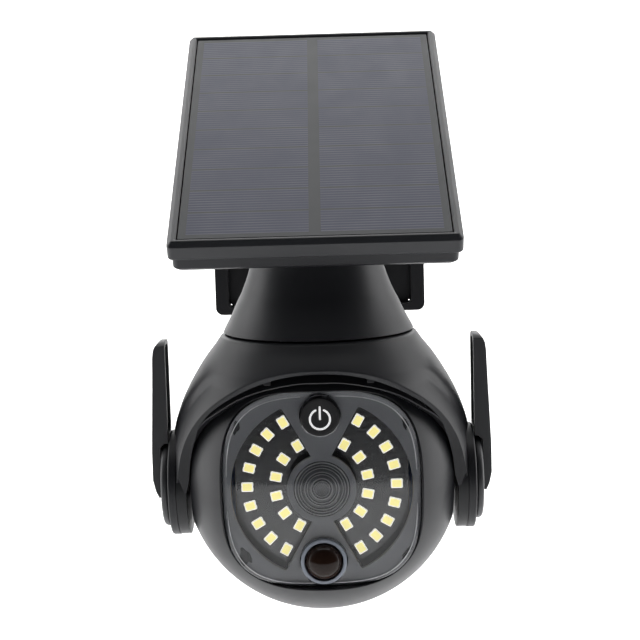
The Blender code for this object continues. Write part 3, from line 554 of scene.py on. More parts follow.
def yoke_section(angle):
    low = lower_edge(angle)
    wall = rim_wall(low)
    low_in = min(low, lower_edge(angle, wall))
    c, s = math.cos(angle), math.sin(angle)
    radii = list(SPIGOT)
    for i in range(BELL_ROWS + 1):
        z = BELL_TOP + (low + LIP_ROUND - BELL_TOP) * i / BELL_ROWS
        radii.append((bell_radius(z) - crease(angle, z), z))
    outer = (bell_radius(low) - crease(angle, low), low)
    inner = (bell_radius(low_in) - wall, low_in)
    run = Vector(inner) - Vector(outer)
    run.normalize()
    lip = Vector(outer) + run * LIP_ROUND
    radii += rounded_corner(radii[-1], outer, lip)[1:]
    before = Vector(inner) - run * LIP_ROUND
    after = (bell_radius(low_in + LIP_ROUND) - wall, low_in + LIP_ROUND)
    radii += rounded_corner(before, inner, after)
    for i in range(1, 25):
        z = low_in + LIP_ROUND + (42.0 - low_in - LIP_ROUND) * i / 24
        rest = min(1.0, max(0.0, (z - low_in) / 8.0))
        radii.append((bell_radius(z) - wall - (BELL_WALL - wall) * rest, z))
    radii += [(25.0, 45.0), (22.8, 46.9), (8.0, 46.9)]
    return [(r * s, -r * c, z) for r, z in radii]


yoke = ease(closed_sweep("yoke_shown", 256, yoke_section), 0.0, smooth=40.0)


def ear_boss(side):
    """The ear's round outer wall, with a turned edge and the hub's bearing hole."""
    outer, wall = EAR_OUT * side, (EAR_OUT - 2.3) * side
    profile = [(2.9, wall), (2.9, outer), (EAR_R - 1.2, outer)]
    profile += [(EAR_R - 0.7 + b, outer - side * (0.7 - a)) for a, b in arc(0.7, 0.0, math.pi / 2, 6)[1:]]
    profile += [(EAR_R, wall - side * 0.25), (EAR_R - 0.4, wall), (EAR_R - 1.1, wall)]
    return turned("ear_boss", 96, profile, "X", (0.0, EAR_Z))


for side in (-1, 1):
    joined(yoke, ease(ear_boss(side), 0.0))
finish(yoke, housing, "yoke", "housing", "yoke_shell")

# ------ Hood liner
# A smooth black inner hood, clipped up into the bell, that follows the ball with a small gap. Its
# rounded front edge shows as a bright line below the lip, with two clips in the gap between them.
LINER_IN = 45.8
LINER_OUT = 47.9
LINER_ARCH_SIDE = [
    (33.4, 34.0), (29.0, 30.2), (24.0, 26.8), (20.5, 23.6),
    (16.0, 20.8), (12.0, 19.2), (2.0, 17.6), (-6.0, 17.6),
]


def liner_outer(z):
    return min(math.sqrt(LINER_OUT**2 - z * z), bell_radius(z) - BELL_WALL - 0.3)


def liner_edge(angle):
    reach = abs(math.cos(angle))
    z = 33.4
    while z > 7.5 and liner_outer(z) * reach < smooth_between(LINER_ARCH_SIDE, z):
        z -= 0.05
    side = liner_outer(z) * reach
    return max(z, 7.5, math.sqrt(max(0.0, 17.3**2 - side**2)))


def liner_section(angle):
    low = liner_edge(angle)
    c, s = math.cos(angle), math.sin(angle)
    round_off = 0.4
    spots = []
    for i in range(33):
        z = 42.0 + (low + round_off - 42.0) * i / 32
        spots.append((liner_outer(z), z))
    inner = math.sqrt(LINER_IN**2 - low * low)
    spots += round_edge(spots[-1][0], low, round_off, 3)
    spots.append((inner + 0.15, low))
    for i in range(25):
        z = low + 0.15 + (42.0 - low - 0.15) * i / 24
        spots.append((math.sqrt(LINER_IN**2 - z * z), z))
    return [(r * s, -r * c, z) for r, z in spots]


liner = ease(closed_sweep("hood_liner_shown", 256, liner_section), 0.0, smooth=45.0)
liner_plastic = moulded("liner_plastic", (0.016, 0.016, 0.018), 0.30, 0.3, 0.006)
for side in (-1, 1):
    for face in (-1, 1):
        clip = rounded_outline(1.1, 1.5, 0.3, (side * 15.6, 34.6), 3)
        joined(liner, ease(sawn("clip", clip, face * 31.0, face * 32.2), 0.2, 2))
finish(liner, liner_plastic, "yoke", "black", "hood_liner")

# ------ Ear plates, bolts and washers
# A black plate screwed inside each ear carries the shoulder bolt that the head tilts on, with a
# rubber washer between the plate and the ball. The plate's top is cut flat with sloping corners.
ear_plastic = moulded("ear_plate_plastic", (0.013, 0.0135, 0.015), 0.42, 0.25, 0.010)
PLATE_IN = 42.9
PLATE_TOP = 5.5
for side, name in ((-1, "left"), (1, "right")):
    low, high = sorted((side * PLATE_IN, side * (EAR_OUT - 2.6)))
    plate = sawn("ear_plate", disc_outline(EAR_R - 0.2, 96, (0.0, EAR_Z)), low, high, "X")
    plate = carve(plate, sawn("flat", oblong(30.0, PLATE_TOP, 30.0), low - 5, high + 5, "X"))
    slope = [(-30.0, PLATE_TOP + 3), (-EAR_R + 3.5, PLATE_TOP + 3), (-EAR_R - 3.0, -1.5), (-30.0, -1.5)]
    plate = carve(plate, sawn("slope", slope, low - 5, high + 5, "X"))
    ease(plate, 0.45, 3)
    plate.name = f"ear_plate_{name}_shown"
    finish(plate, ear_plastic, "yoke", "black", f"ear_plate_{name}")

# ------ Ball head
# Two matt shells screwed together round a rubber seal. The front one holds the lamp's face in a
# rounded square pocket, and both are flat on the sides where the ears hold them.
BALL_R = 44.7
BALL_WALL = 2.4
CORE_R = BALL_R - BALL_WALL
FLAT_X = 41.5
SEAM_Y = 6.0
POCKET = (30.6, 19.8)
POCKET_FLOOR = -25.5
FACE_BACK = -23.1
OPENING = (28.0, 17.2)


def rounded_square(angle, half, corner):
    """Distance from the middle of a square with bowed sides and soft corners to its outline."""
    power = 3.2 + (19.8 - corner) * 0.02
    a, b = abs(math.cos(angle)), abs(math.sin(angle))
    return half / (a**power + b**power) ** (1 / power)


def front_section(angle):
    inner = rounded_square(angle, *OPENING)
    outer = rounded_square(angle, *POCKET)
    rim = math.sqrt(BALL_R**2 - (outer + 0.45) ** 2)
    profile = [(inner, FACE_BACK), (inner, POCKET_FLOOR), (outer - 0.4, POCKET_FLOOR)]
    profile += [(outer - 0.1, POCKET_FLOOR - 0.1), (outer, POCKET_FLOOR - 0.4), (outer, -rim + 0.35)]
    profile += [(outer + 0.04, -rim + 0.14), (outer + 0.18, -rim + 0.02)]
    first = math.acos(rim / BALL_R)
    last = math.acos(-(SEAM_Y - 0.3) / BALL_R)
    profile += [(b, -a) for a, b in arc(BALL_R, first, last, 40)]
    end = math.sqrt(BALL_R**2 - SEAM_Y**2)
    profile += [(end - 0.3, SEAM_Y), (42.0, SEAM_Y)]
    profile += arc(CORE_R, math.asin(5.0 / CORE_R), math.asin(FACE_BACK / CORE_R), 12)
    c, s = math.cos(angle), math.sin(angle)
    return [(r * c, y, r * s) for r, y in profile]


def cheeks(obj):
    """Cuts the two flats on the ball's sides."""
    for side in (-1, 1):
        low, high = sorted((side * FLAT_X, side * 60.0))
        obj = carve(obj, sawn("cheek", oblong(60.0, -60.0, 60.0), low, high, "X"))
    return obj


ball_front = cheeks(closed_sweep("ball_front_shown", 192, front_section))
for side in (-1, 1):
    low, high = sorted((side * 30.0, side * 60.0))
    ball_front = carve(ball_front, sawn("bolt_hole", disc_outline(2.3, 32), low, high, "X"))
ease(ball_front, 0.25, 2, 30.0, 30.0)
finish(ball_front, housing, "head", "housing", "ball_front")

REAR_START = 7.4
rear_profile = [(42.0, REAR_START)]
rear_profile += arc(BALL_R, math.asin((REAR_START + 0.25) / BALL_R), math.pi / 2, 48)[:-1] + [(0.0, BALL_R)]
rear_profile += [(0.0, CORE_R)] + arc(CORE_R, math.pi / 2, math.asin((REAR_START + 0.6) / CORE_R), 16)[1:]
ball_rear = cheeks(turned("ball_rear_shown", 192, rear_profile, "Y"))
TUBE_BALL = 43.9
SHELL_SCREWS = [(a, b) for a in (-24.5, 24.5) for b in (-28.5, 28.5)]
for spot in SHELL_SCREWS:
    tube = sawn("tube", disc_outline(4.4, 48, spot), REAR_START + 1.0, 25.0)
    round_side = arc(TUBE_BALL, -math.pi * 11 / 24, math.pi * 11 / 24, 22)
    tube_ball = turned("tube_ball", 96, [(0.0, -44.0), *round_side, (0.0, 44.0)], "Y")
    tube = carve(tube, tube_ball, "INTERSECT")
    ball_rear = carve(ball_rear, tube, "UNION")
    ball_rear = carve(ball_rear, sawn("head_hole", disc_outline(3.2, 48, spot), 17.0, 60.0))
    ball_rear = carve(ball_rear, sawn("screw_hole", disc_outline(1.8, 32, spot), 0.0, 40.0))
ease(ball_rear, 0.25, 2, 30.0, 30.0)
finish(ball_rear, housing, "head", "housing", "ball_rear")

# ------ Face cover
# A flat clear acrylic window, polished, with a sloping edge all round, pressed into the pocket on
# its gasket. The sensor's ring and the button stand in two round holes in it.
COVER_FRONT = -30.4
COVER_BACK = -28.5
SENSOR_Z = -22.3
RING_R = 7.1
BUTTON_Z = 22.9
BUTTON_R = 6.0


def plate_section(angle, half, corner, profile):
    """A plate with a rounded square outline: profile is (inset, depth), None for the middle."""
    c, s = math.cos(angle), math.sin(angle)
    spots = []
    for inset, y in profile:
        r = 0.0 if inset is None else rounded_square(angle, half - inset, max(corner - inset, 0.3))
        spots.append((r * c, y, r * s))
    return spots


cover_profile = [
    (None, COVER_FRONT), (1.6, COVER_FRONT), (1.35, COVER_FRONT + 0.08), (0.42, COVER_FRONT + 0.98),
    (0.3, COVER_FRONT + 1.25), (0.3, COVER_BACK - 0.12), (0.42, COVER_BACK), (None, COVER_BACK),
]
cover = flatten(closed_sweep("face_cover_shown", 192, lambda t: plate_section(t, *POCKET, cover_profile)))
for radius, z in ((RING_R + 0.3, SENSOR_Z), (BUTTON_R + 0.3, BUTTON_Z)):
    cover = carve(cover, sawn("cover_hole", disc_outline(radius, 96, (0.0, z)), -50.0, 0.0))
ease(cover, 0.08, 2, 50.0, 30.0)
acrylic, acrylic_shader = plain_material("clear_acrylic", (0.97, 0.98, 0.99), 0.04)
haze = ranged(noise(own_place(acrylic_shader), 60.0, 5.0), 0.35, 0.75, 0.02, 0.06)
fit(acrylic_shader, Transmission_Weight=1.0, IOR=1.36, Roughness=haze)
finish(cover, acrylic, "head", "clear", "face_cover")
# The band where the slope meets the face is partly the cut edge's own frosting and partly a painted
# highlight: it is coloured pale to show as the thin light line round the window.
frosted_and_highlight, frosted_shader = plain_material("machined_edge_and_highlight", (0.62, 0.63, 0.65), 0.5)
frost_and_highlight = noise(own_place(frosted_shader), 340.0, 4.0)
frost_and_highlight = mixed(frost_and_highlight, (0.16, 0.165, 0.175), (0.85, 0.86, 0.88))
fit(frosted_shader, Base_Color=frost_and_highlight)
cover.data.materials.append(frosted_and_highlight)
EDGE_REACH = 31.0 * MM
for face in cover.data.polygons:
    far_out = abs(face.center.x) + abs(face.center.z - BALL.z) > EDGE_REACH
    if -0.985 < face.normal.y < -0.9 and far_out:
        face.material_index = 1

# ------ Mask
# A grey moulded frame behind the cover, with a wing-shaped window on each side for the lamps and a
# ring of plastic left between them round the mock lens.
MASK_FRONT = -28.2
MASK_BACK = -26.7
LENS_R = 8.4
mask_plastic = moulded("mask_plastic", (0.235, 0.238, 0.25), 0.45, 0.2, 0.008)


def softened(points, radius, steps=4):
    """The outline with the corners sharper than 20 degrees rounded off."""
    outline = []
    count = len(points)
    for i, point in enumerate(points):
        here = Vector(point)
        back = Vector(points[i - 1]) - here
        ahead = Vector(points[(i + 1) % count]) - here
        turn = math.pi - back.angle(ahead)
        if turn < math.radians(20):
            outline.append(point)
            continue
        room = min(radius, back.length * 0.45, ahead.length * 0.45)
        start, end = here + back.normalized() * room, here + ahead.normalized() * room
        outline += rounded_corner(start, here, end, steps)
    return outline


WINDOW_OUT, WINDOW_IN = 28.0, 10.6


def window_outline(side):
    """A wing: its wide outer arc, then its narrow inner arc back, in the same turn."""
    arcs = [(WINDOW_OUT, -65.3, 65.3, 40), (WINDOW_IN, 73.0, 65.0, 4)]
    arcs += [(WINDOW_IN, 58.0, -58.0, 20), (WINDOW_IN, -65.0, -73.0, 4)]
    points = []
    for radius, first, last, steps in arcs:
        points += arc(radius, math.radians(first), math.radians(last), steps)
    return [(side * a, b) for a, b in softened(points, 1.6)]


mask_profile = [(None, MASK_FRONT), (0.7, MASK_FRONT), (0.5, MASK_FRONT + 0.2), (0.5, MASK_BACK)]
mask_profile.append((None, MASK_BACK))
mask = flatten(closed_sweep("reflector_mask_shown", 192, lambda t: plate_section(t, *POCKET, mask_profile)))
for side in (-1, 1):
    mask = carve(mask, sawn("window", window_outline(side), -50.0, 0.0))
for radius, z in ((LENS_R + 0.3, 0.0), (RING_R + 0.3, SENSOR_Z), (BUTTON_R + 0.3, BUTTON_Z)):
    mask = carve(mask, sawn("mask_hole", disc_outline(radius, 96, (0.0, z)), -50.0, 0.0))
ease(mask, 0.22, 2, 40.0, 30.0)
finish(mask, mask_plastic, "head", "grey", "reflector_mask")

GLUE_SPOTS = [
    (-25.6, 19.7, 0.8, 2.1, -0.35), (25.8, 19.6, 0.65, 1.8, 0.3),
    (-24.2, -20.7, 1.7, 2.6, 0.35), (25.4, -20.6, 0.5, 2.4, -0.6),
]
glue = plain_material("black_glue", (0.012, 0.012, 0.013), 0.5)[0]
WAVES = [(0.16, 3, 1), (0.12, 5, 2), (0.07, 11, 0)]
for index, (a, b, half_a, half_b, lean) in enumerate(GLUE_SPOTS, 1):
    outline = []
    for i in range(28):
        t = 2 * math.pi * i / 28
        swell = 1.0 + sum(size * math.sin(turns * t + shift * index) for size, turns, shift in WAVES)
        spot = Matrix.Rotation(lean, 2) @ (swell * Vector((half_a * math.cos(t), half_b * math.sin(t))))
        outline.append((a + spot.x, b + spot.y))
    dab = ease(sawn(f"glue_dab_{index}", outline, MASK_FRONT - 0.1, MASK_FRONT + 0.2), 0.05, 1)
    finish(dab, glue, "head", "rubber")

# ------ Lamp board
# A black circuit board with fine copper tracks under its solder mask, and thirty surface-mount
# lamps in two arcs on each side: a white body, its cup filled with yellow phosphor, both with a painted
# glow.
BOARD_FRONT = -22.5
BOARD_BACK = -20.9
board_plate = sawn("led_board_shown", rounded_outline(27.0, 27.0, 16.2, steps=12), BOARD_FRONT, BOARD_BACK)
ease(board_plate, 0.12, 1)
solder_mask, board_shader = plain_material("black_board", (0.004, 0.004, 0.005), 0.2)
wave = added(
    board_shader, "TexWave", Vector=in_millimetres(board_shader, BALL),
    Scale=0.15, Distortion=5.0, Detail=0.0, Detail_Scale=0.12,
)
wave.bands_direction = "Z"
track = ranged(wave.outputs["Fac"], 0.82, 0.90, shape="SMOOTHSTEP")
track_colour = mixed(track, (0.003, 0.003, 0.004), (0.014, 0.014, 0.015))
fit(board_shader, Base_Color=track_colour, Specular_IOR_Level=1.0)
bumped(board_shader, track, 0.35, 0.04)
board_plate.data.materials.append(solder_mask)

# Painted glow: the unlit lamps' white bodies emit light, standing in for the light the clear cover keeps
# from them.
glow = {"Emission_Color": (1.0, 1.0, 0.95), "Emission_Strength": 0.75}
white_body = plain_material("lamp_body_white_painted_glow", (0.86, 0.86, 0.83), 0.35, **glow)[0]
phosphor, phosphor_shader = plain_material("lamp_phosphor_painted_glow", (0.93, 0.80, 0.24), 0.3)
grain = noise(own_place(phosphor_shader), 2600.0)
phosphor_colour = mixed(grain, (0.92, 0.82, 0.30), (0.97, 0.86, 0.24))
# Painted glow: the phosphor emits yellow light in place of the light the cover keeps from it.
fit(
    phosphor_shader, Base_Color=phosphor_colour,
    Emission_Color=(1.0, 0.88, 0.36), Emission_Strength=0.72,
)
tin = plain_material("tinned_leads", (0.75, 0.75, 0.74), 0.3, 1.0)[0]

LAMP_A, LAMP_B, LAMP_H = 1.75, 1.4, 0.8
lamp = sawn("lamp", rounded_outline(LAMP_A, LAMP_B, 0.12, steps=2), -LAMP_H, 0.0)
cup = rounded_outline(LAMP_A - 0.26, LAMP_B - 0.24, 0.38, steps=4)
lamp = carve(lamp, sawn("cup", cup, -LAMP_H - 1.0, -LAMP_H + 0.22))
ease(lamp, 0.05, 1)
lamp.data.materials.append(white_body)
fill = rounded_outline(LAMP_A - 0.27, LAMP_B - 0.25, 0.38, steps=4)
fill = ease(sawn("fill", fill, -LAMP_H + 0.05, -LAMP_H + 0.4), 0.03, 1)
fill.data.materials.append(phosphor)
leads = []
for side in (-1, 1):
    for edge in (-1, 1):
        outline = rounded_outline(0.22, 0.42, 0.05, (side * (LAMP_A - 0.02), edge * 0.75), 2)
        lead = ease(sawn("lead", outline, -0.18, 0.0), 0.03, 1)
        lead.data.materials.append(tin)
        leads.append(lead)
joined(lamp, fill, *leads)
lamp.data.transform(Matrix.Translation(-BALL))

lamps = []
for side in (-1, 1):
    for count, radius in ((9, 23.2), (6, 14.5)):
        for i in range(count):
            t = math.radians(-60.0 + 120.0 * i / (count - 1))
            one = lamp.copy()
            one.data = lamp.data.copy()
            bpy.context.scene.collection.objects.link(one)
            spot = Vector((side * radius * math.cos(t), BOARD_FRONT, radius * math.sin(t))) * MM
            one.data.transform(Matrix.Translation(BALL + spot) @ Matrix.Rotation(-t * side, 4, "Y"))
            lamps.append(one)
bpy.data.objects.remove(lamp, do_unlink=True)
joined(board_plate, *lamps)
finish(board_plate, None, "head", "board", "led_board")

# ------ Mock lens
# A round plastic disc in the middle of the mask, turned with fine ridges like a camera's lens,
# the crests painted light grey as a painted highlight. Nothing stands behind it.
RIDGES = [(8.15, 0.34), (7.25, 0.22), (6.45, 0.24), (5.2, 0.2), (4.5, 0.24), (3.2, 0.26), (2.45, 0.18)]
lens_face = MASK_FRONT + 0.55
lens_profile = [(LENS_R, MASK_BACK + 0.6), (LENS_R, MASK_FRONT + 0.12), (LENS_R - 0.1, MASK_FRONT + 0.02)]
for radius, width in RIDGES:
    lens_profile += [(radius + width / 2, MASK_FRONT + 0.1), (radius, MASK_FRONT + 0.02)]
    lens_profile += [(radius - width / 2, MASK_FRONT + 0.14), (radius - width / 2 - 0.12, lens_face)]
lens_profile += [(1.2, lens_face + 0.1), (0.0, lens_face + 0.12), (0.0, MASK_BACK + 0.6)]
lens = ease(turned("mock_lens_shown", 128, lens_profile, "Y"), 0.0, smooth=25.0)
lens_plastic, lens_shader = plain_material("mock_lens_plastic", (0.13, 0.13, 0.14), 0.3)
# Painted highlight: the ridges' forward crests are coloured light grey, and the face between them dark.
lens_depth = added(lens_shader, "SeparateXYZ", Vector=in_millimetres(lens_shader, BALL)).outputs["Y"]
ridge_painted_highlight = ranged(lens_depth, MASK_FRONT + 0.22, MASK_FRONT + 0.05)
fit(lens_shader, Base_Color=mixed(ridge_painted_highlight, (0.10, 0.10, 0.108), (0.42, 0.42, 0.43)))
finish(lens, lens_plastic, "head", "clear", "mock_lens")

# ------ Movement sensor
# A glossy dark brown dome in a blue-grey ring, in front of the sensor's steel can.
DOME_R = 5.7
ring_front = COVER_FRONT - 0.8
ring_profile = [(DOME_R + 0.3, MASK_BACK), (RING_R, MASK_BACK), (RING_R, ring_front + 0.45)]
ring_profile += round_edge(RING_R, ring_front, 0.45)
ring_profile += [(DOME_R + 0.42, ring_front), (DOME_R + 0.3, ring_front + 0.15)]
sensor_ring = ease(turned("sensor_ring_shown", 96, ring_profile, "Y", (0.0, SENSOR_Z)), 0.0)
ring_plastic = moulded("ring_plastic", (0.30, 0.33, 0.385), 0.28, 0.3, 0.004)
finish(sensor_ring, ring_plastic, "head", "ring", "sensor_ring")

dome_mid = COVER_FRONT + 0.6
dome_profile = [(DOME_R - 0.8, MASK_BACK), (DOME_R, MASK_BACK)]
dome_profile += [(DOME_R * a, dome_mid - 4.8 * b) for a, b in arc(1.0, 0.0, math.pi / 2, 32)]
dome_profile += [((DOME_R - 0.8) * a, dome_mid - 4.0 * b) for a, b in arc(1.0, math.pi / 2, 0.0, 16)]
dome = ease(turned("sensor_dome_shown", 96, dome_profile, "Y", (0.0, SENSOR_Z)), 0.0, smooth=50.0)
dome_plastic, dome_shader = plain_material("dome_plastic", (0.018, 0.009, 0.006), 0.07)
cells = added(dome_shader, "TexVoronoi", Vector=own_place(dome_shader), Scale=620.0)
bumped(dome_shader, cells.outputs["Distance"], 0.12, 0.05)
fit(dome_shader, Specular_IOR_Level=0.22)
finish(dome, dome_plastic, "head", "lens", "sensor_dome")

# ------ Power button
# A black cap that slides in the cover's upper hole, held by two tabs behind the mask, with a white
# power sign printed on its face, the print given a painted glow.
button_front = COVER_FRONT - 0.9
button_profile = [(0.0, MASK_BACK), (BUTTON_R, MASK_BACK), (BUTTON_R, button_front + 0.5)]
button_profile += round_edge(BUTTON_R, button_front, 0.5)
button_profile += [(BUTTON_R - 1.4, button_front + 0.04), (BUTTON_R - 3.2, button_front + 0.10)]
button_profile.append((0.0, button_front + 0.12))
button = turned("power_button_shown", 96, button_profile, "Y", (0.0, BUTTON_Z))
stem_back = BOARD_FRONT - 2.5 - 0.6 - 0.3
core = sawn("core", disc_outline(4.4, 48, (0.0, BUTTON_Z)), MASK_BACK - 1.0, MASK_BACK + 0.6)
button = carve(button, core, "UNION")
tab = rounded_outline(BUTTON_R + 1.4, 3.0, 0.6, (0.0, BUTTON_Z), 4)
button = carve(button, sawn("tab", tab, MASK_BACK + 0.3, stem_back), "UNION")
ease(button, 0.0)
button_plastic = moulded("button_plastic", (0.011, 0.011, 0.012), 0.36, 0.2, 0.006)
button.data.materials.append(button_plastic)
# Painted glow: the printed sign emits light so that it reads brighter than its lit colour.
glow = {"Emission_Color": (1.0, 1.0, 1.0), "Emission_Strength": 0.35}
sign_paint = plain_material("white_print_painted_glow", (0.9, 0.9, 0.9), 0.5, **glow)[0]
SIGN_R = 3.05
SIGN_STROKE = 0.31
sign_z = BUTTON_Z - 0.7


def sign_arc():
    """The open ring of the sign, gap upwards, with round ends."""
    start, end = math.radians(115), math.radians(65)
    points = arc(SIGN_R + SIGN_STROKE, start, end + 2 * math.pi, 40)
    for tip, first in ((end, end), (start, start + math.pi)):
        if tip == start:
            points += arc(SIGN_R - SIGN_STROKE, end, start - 2 * math.pi, 40)
        a, b = SIGN_R * math.cos(tip), SIGN_R * math.sin(tip)
        points += [(a + x, b + y) for x, y in arc(SIGN_STROKE, first, first + math.pi, 7)[1:-1]]
    return [(a, sign_z + b) for a, b in points]


sign = sawn("sign", sign_arc(), button_front + 0.02, button_front + 0.3)
bar = rounded_outline(SIGN_STROKE, 2.15, SIGN_STROKE - 0.01, (0.0, sign_z + 1.9), 6)
bar = sawn("bar", bar, button_front + 0.02, button_front + 0.3)
for piece in (sign, bar):
    ease(piece, 0.0)
    piece.data.materials.append(sign_paint)
joined(button, sign, bar)
finish(button, None, "power_button", "black", "power_button")

# ------ Mock antennas
# A round hub turns on each ear, and a flat blade stands up from it, open on the inside, with soft
# outer edges and a slight taper. They are for show and only turn about the hub.
HUB_Z = -3.3
HUB_R = 13.8
HUB_IN = 49.1
BLADE_HALF = 6.5
BLADE_LOW = -7.0
BLADE_TOP = 43.6
BLADE_TAPER = 0.15
HUB_FACE = 51.6
BLADE_SIDE = [
    (HUB_FACE + 0.1, BLADE_LOW + 0.6), (52.6, BLADE_LOW), (53.7, -4.6), (54.5, -1.0), (54.5, 8.0),
    (53.6, 30.0),
    (53.3, 38.6), (53.0, 40.8), (52.4, 42.2), (51.5, 43.2), (50.6, BLADE_TOP), (49.2, BLADE_TOP),
    (49.2, 10.9), (50.5, 10.7), (HUB_FACE + 0.1, 9.6),
]
antenna_plastic = moulded("antenna_plastic", (0.028, 0.029, 0.032), 0.44, 0.2, 0.012, sheen=0.5)


def blade_bar(side):
    """The blade's side outline across its width, which narrows towards the top."""
    obj = sawn("blade", [(side * a, b) for a, b in BLADE_SIDE], -BLADE_HALF, BLADE_HALF)
    for vert in obj.data.vertices:
        up = ((vert.co.z - BALL.z) / MM - BLADE_LOW) / (BLADE_TOP - BLADE_LOW)
        vert.co.y = BALL.y + (vert.co.y - BALL.y) * (1 - BLADE_TAPER * up)
    return obj


for side, name in ((-1, "left"), (1, "right")):
    bar = blade_bar(side)
    low, high = sorted((side * 40.0, side * 60.0))
    shape = rounded_outline(BLADE_HALF, 30.0, 4.2, (0.0, BLADE_TOP - 30.0), 8)
    bar = carve(bar, sawn("shape", shape, low, high, "X"), "INTERSECT")
    low, high = sorted((side * 40.0, side * HUB_FACE))
    recess = sawn("recess", rounded_outline(4.3, 14.4, 2.2, (0.0, 27.8), 6), low, high, "X")
    bar = carve(bar, recess)
    ease(bar, 1.15, 4, 44.0, 42.0)
    bar.name = f"antenna_blade_{name}_shown"
    finish(bar, antenna_plastic, f"antenna_{name}", "housing", f"antenna_blade_{name}")
    hub_profile = [(0.0, EAR_OUT - 2.2), (2.6, EAR_OUT - 2.2), (2.6, HUB_IN), (HUB_R - 0.5, HUB_IN)]
    hub_profile += [(HUB_R, HUB_IN + 0.4), (HUB_R, HUB_FACE - 1.5)]
    hub_profile += [(HUB_R - 1.3 + a, HUB_FACE - 1.5 + b) for a, b in arc(1.3, 0.0, math.pi / 2, 8)[1:]]
    hub_profile += [(HUB_R - 3.2, HUB_FACE - 0.1), (HUB_R - 6.0, HUB_FACE - 0.02), (0.0, HUB_FACE)]
    hub = turned("hub", 128, [(r, side * x) for r, x in hub_profile], "X", (0.0, HUB_Z))
    ease(hub, 0.12, 1, 50.0)
    hub.name = f"antenna_hub_{name}_shown"
    finish(hub, antenna_plastic, f"antenna_{name}", "housing", f"antenna_hub_{name}")

# ------ Solar panel
# A moulded tray and bezel, screwed together from below, clamp a resin-coated laminate on a rubber
# pad. Two columns of ten thin cells lie under the resin, crossed by fine silver fingers.
PANEL_HALF = 44.8
PANEL_FRONT = -28.0
PANEL_REAR = 100.6
UNDERSIDE = 6.0
BEZEL_LOW = 11.5
BEZEL_TOP = 17.6
BEZEL_LIP = 2.9
panel_mid = (PANEL_FRONT + PANEL_REAR) / 2
panel_half_s = (PANEL_REAR - PANEL_FRONT) / 2
on_slope = Matrix.Translation(hinge_place) @ Matrix.Rotation(PANEL_TILT, 4, "X") @ Matrix.Translation(-BALL)


def frame_outline(inset, corner=1.9):
    half_x, half_s = PANEL_HALF - inset, panel_half_s - inset
    return rounded_outline(half_x, half_s, max(corner - inset, 0.35), (0.0, panel_mid), 8)


def framed(name, profile):
    """A frame round the panel: profile is (inset, height)."""
    outlines = {inset: frame_outline(inset) for inset, h in profile}
    count = len(frame_outline(0.0))

    def section(angle):
        i = round(angle / (2 * math.pi) * count) % count
        return [(*outlines[inset][i], h) for inset, h in profile]

    obj = closed_sweep(name, count, section)
    obj.data.transform(on_slope)
    return obj


BEZEL_RISES = [
    (0.0, -1.75), (0.04, -1.5), (0.16, -1.35), (1.3, -0.18), (1.5, -0.04), (1.75, 0.0), (2.2, 0.0),
    (2.4, -0.08),
    (BEZEL_LIP, -0.5),
]
bezel_profile = [(0.25, BEZEL_LOW), (0.0, BEZEL_LOW + 0.3)]
bezel_profile += [(inset, BEZEL_TOP + rise) for inset, rise in BEZEL_RISES]
bezel_profile += [(BEZEL_LIP, BEZEL_LOW + 2.5), (6.0, BEZEL_LOW + 2.5), (6.0, BEZEL_LOW)]
bezel = ease(framed("panel_bezel_shown", bezel_profile), 0.0, smooth=38.0)
bezel_plastic = moulded("bezel_plastic", (0.022, 0.023, 0.026), 0.36, 0.25, 0.008, sheen=0.4)
finish(bezel, bezel_plastic, "panel", "housing", "panel_bezel")
reworked("panel_tray", "panel", "housing", housing, 0.4, 3)

LAMINATE_INSET = 3.3
resin, resin_shader = plain_material("cell_laminate", (0.05, 0.055, 0.09), 0.2)
reworked("solar_laminate", "panel", "cells", resin, 0.12, 2)
cell_place = in_millimetres(resin_shader, hinge_place, (PANEL_TILT, 0.0, 0.0))
cell_split = added(resin_shader, "SeparateXYZ", Vector=cell_place)


def number(kind, *inputs):
    node = added(resin_shader, "Math")
    node.operation = kind
    for socket, value in zip(node.inputs, inputs):
        if isinstance(value, (int, float)):
            socket.default_value = value
        else:
            node.id_data.links.new(value, socket)
    return node.outputs[0]


def ramp(value, low, high, out_low=0.0, out_high=1.0):
    return ranged(value, low, high, out_low, out_high, "SMOOTHSTEP")


def between(value, low, high, soft):
    """1 between the two limits and 0 outside them, with soft ends."""
    rise = ramp(value, low - soft, low + soft)
    return number("MULTIPLY", rise, ramp(value, high - soft, high + soft, 1.0, 0.0))


CELL_ROWS = 10
ROW_GAP = 0.8
MIDDLE_STRIP = 3.7
SIDE_MARGIN = 2.4
END_MARGIN = 1.6
FINGERS = 9
field_front = PANEL_FRONT + LAMINATE_INSET + END_MARGIN
row_pitch = (PANEL_REAR - LAMINATE_INSET - END_MARGIN - field_front) / CELL_ROWS
across = number("ABSOLUTE", cell_split.outputs["X"])
along = number("DIVIDE", number("SUBTRACT", cell_split.outputs["Y"], field_front), row_pitch)
row_part = number("FRACT", along)
cell_out = PANEL_HALF - LAMINATE_INSET - SIDE_MARGIN
in_side = between(across, MIDDLE_STRIP / 2, cell_out, 0.06)
edge = ROW_GAP / row_pitch / 2
in_row = between(row_part, edge, 1 - edge, edge * 0.3)
in_field = between(along, 0.005, CELL_ROWS - 0.005, 0.005)
in_cell = number("MULTIPLY", number("MULTIPLY", in_side, in_row), in_field)
finger_part = number("SUBTRACT", number("FRACT", number("MULTIPLY", row_part, FINGERS)), 0.5)
finger = ramp(number("ABSOLUTE", finger_part), 0.08, 0.16, 1.0, 0.0)
patchy = ramp(noise(cell_place, 0.05), 0.3, 0.7, 0.35, 1.0)
finger_seen = number("MULTIPLY", number("MULTIPLY", finger, in_cell), patchy)
crystal = noise(cell_place, 0.35, 4.0)
blue = mixed(crystal, (0.048, 0.052, 0.086), (0.056, 0.060, 0.094))
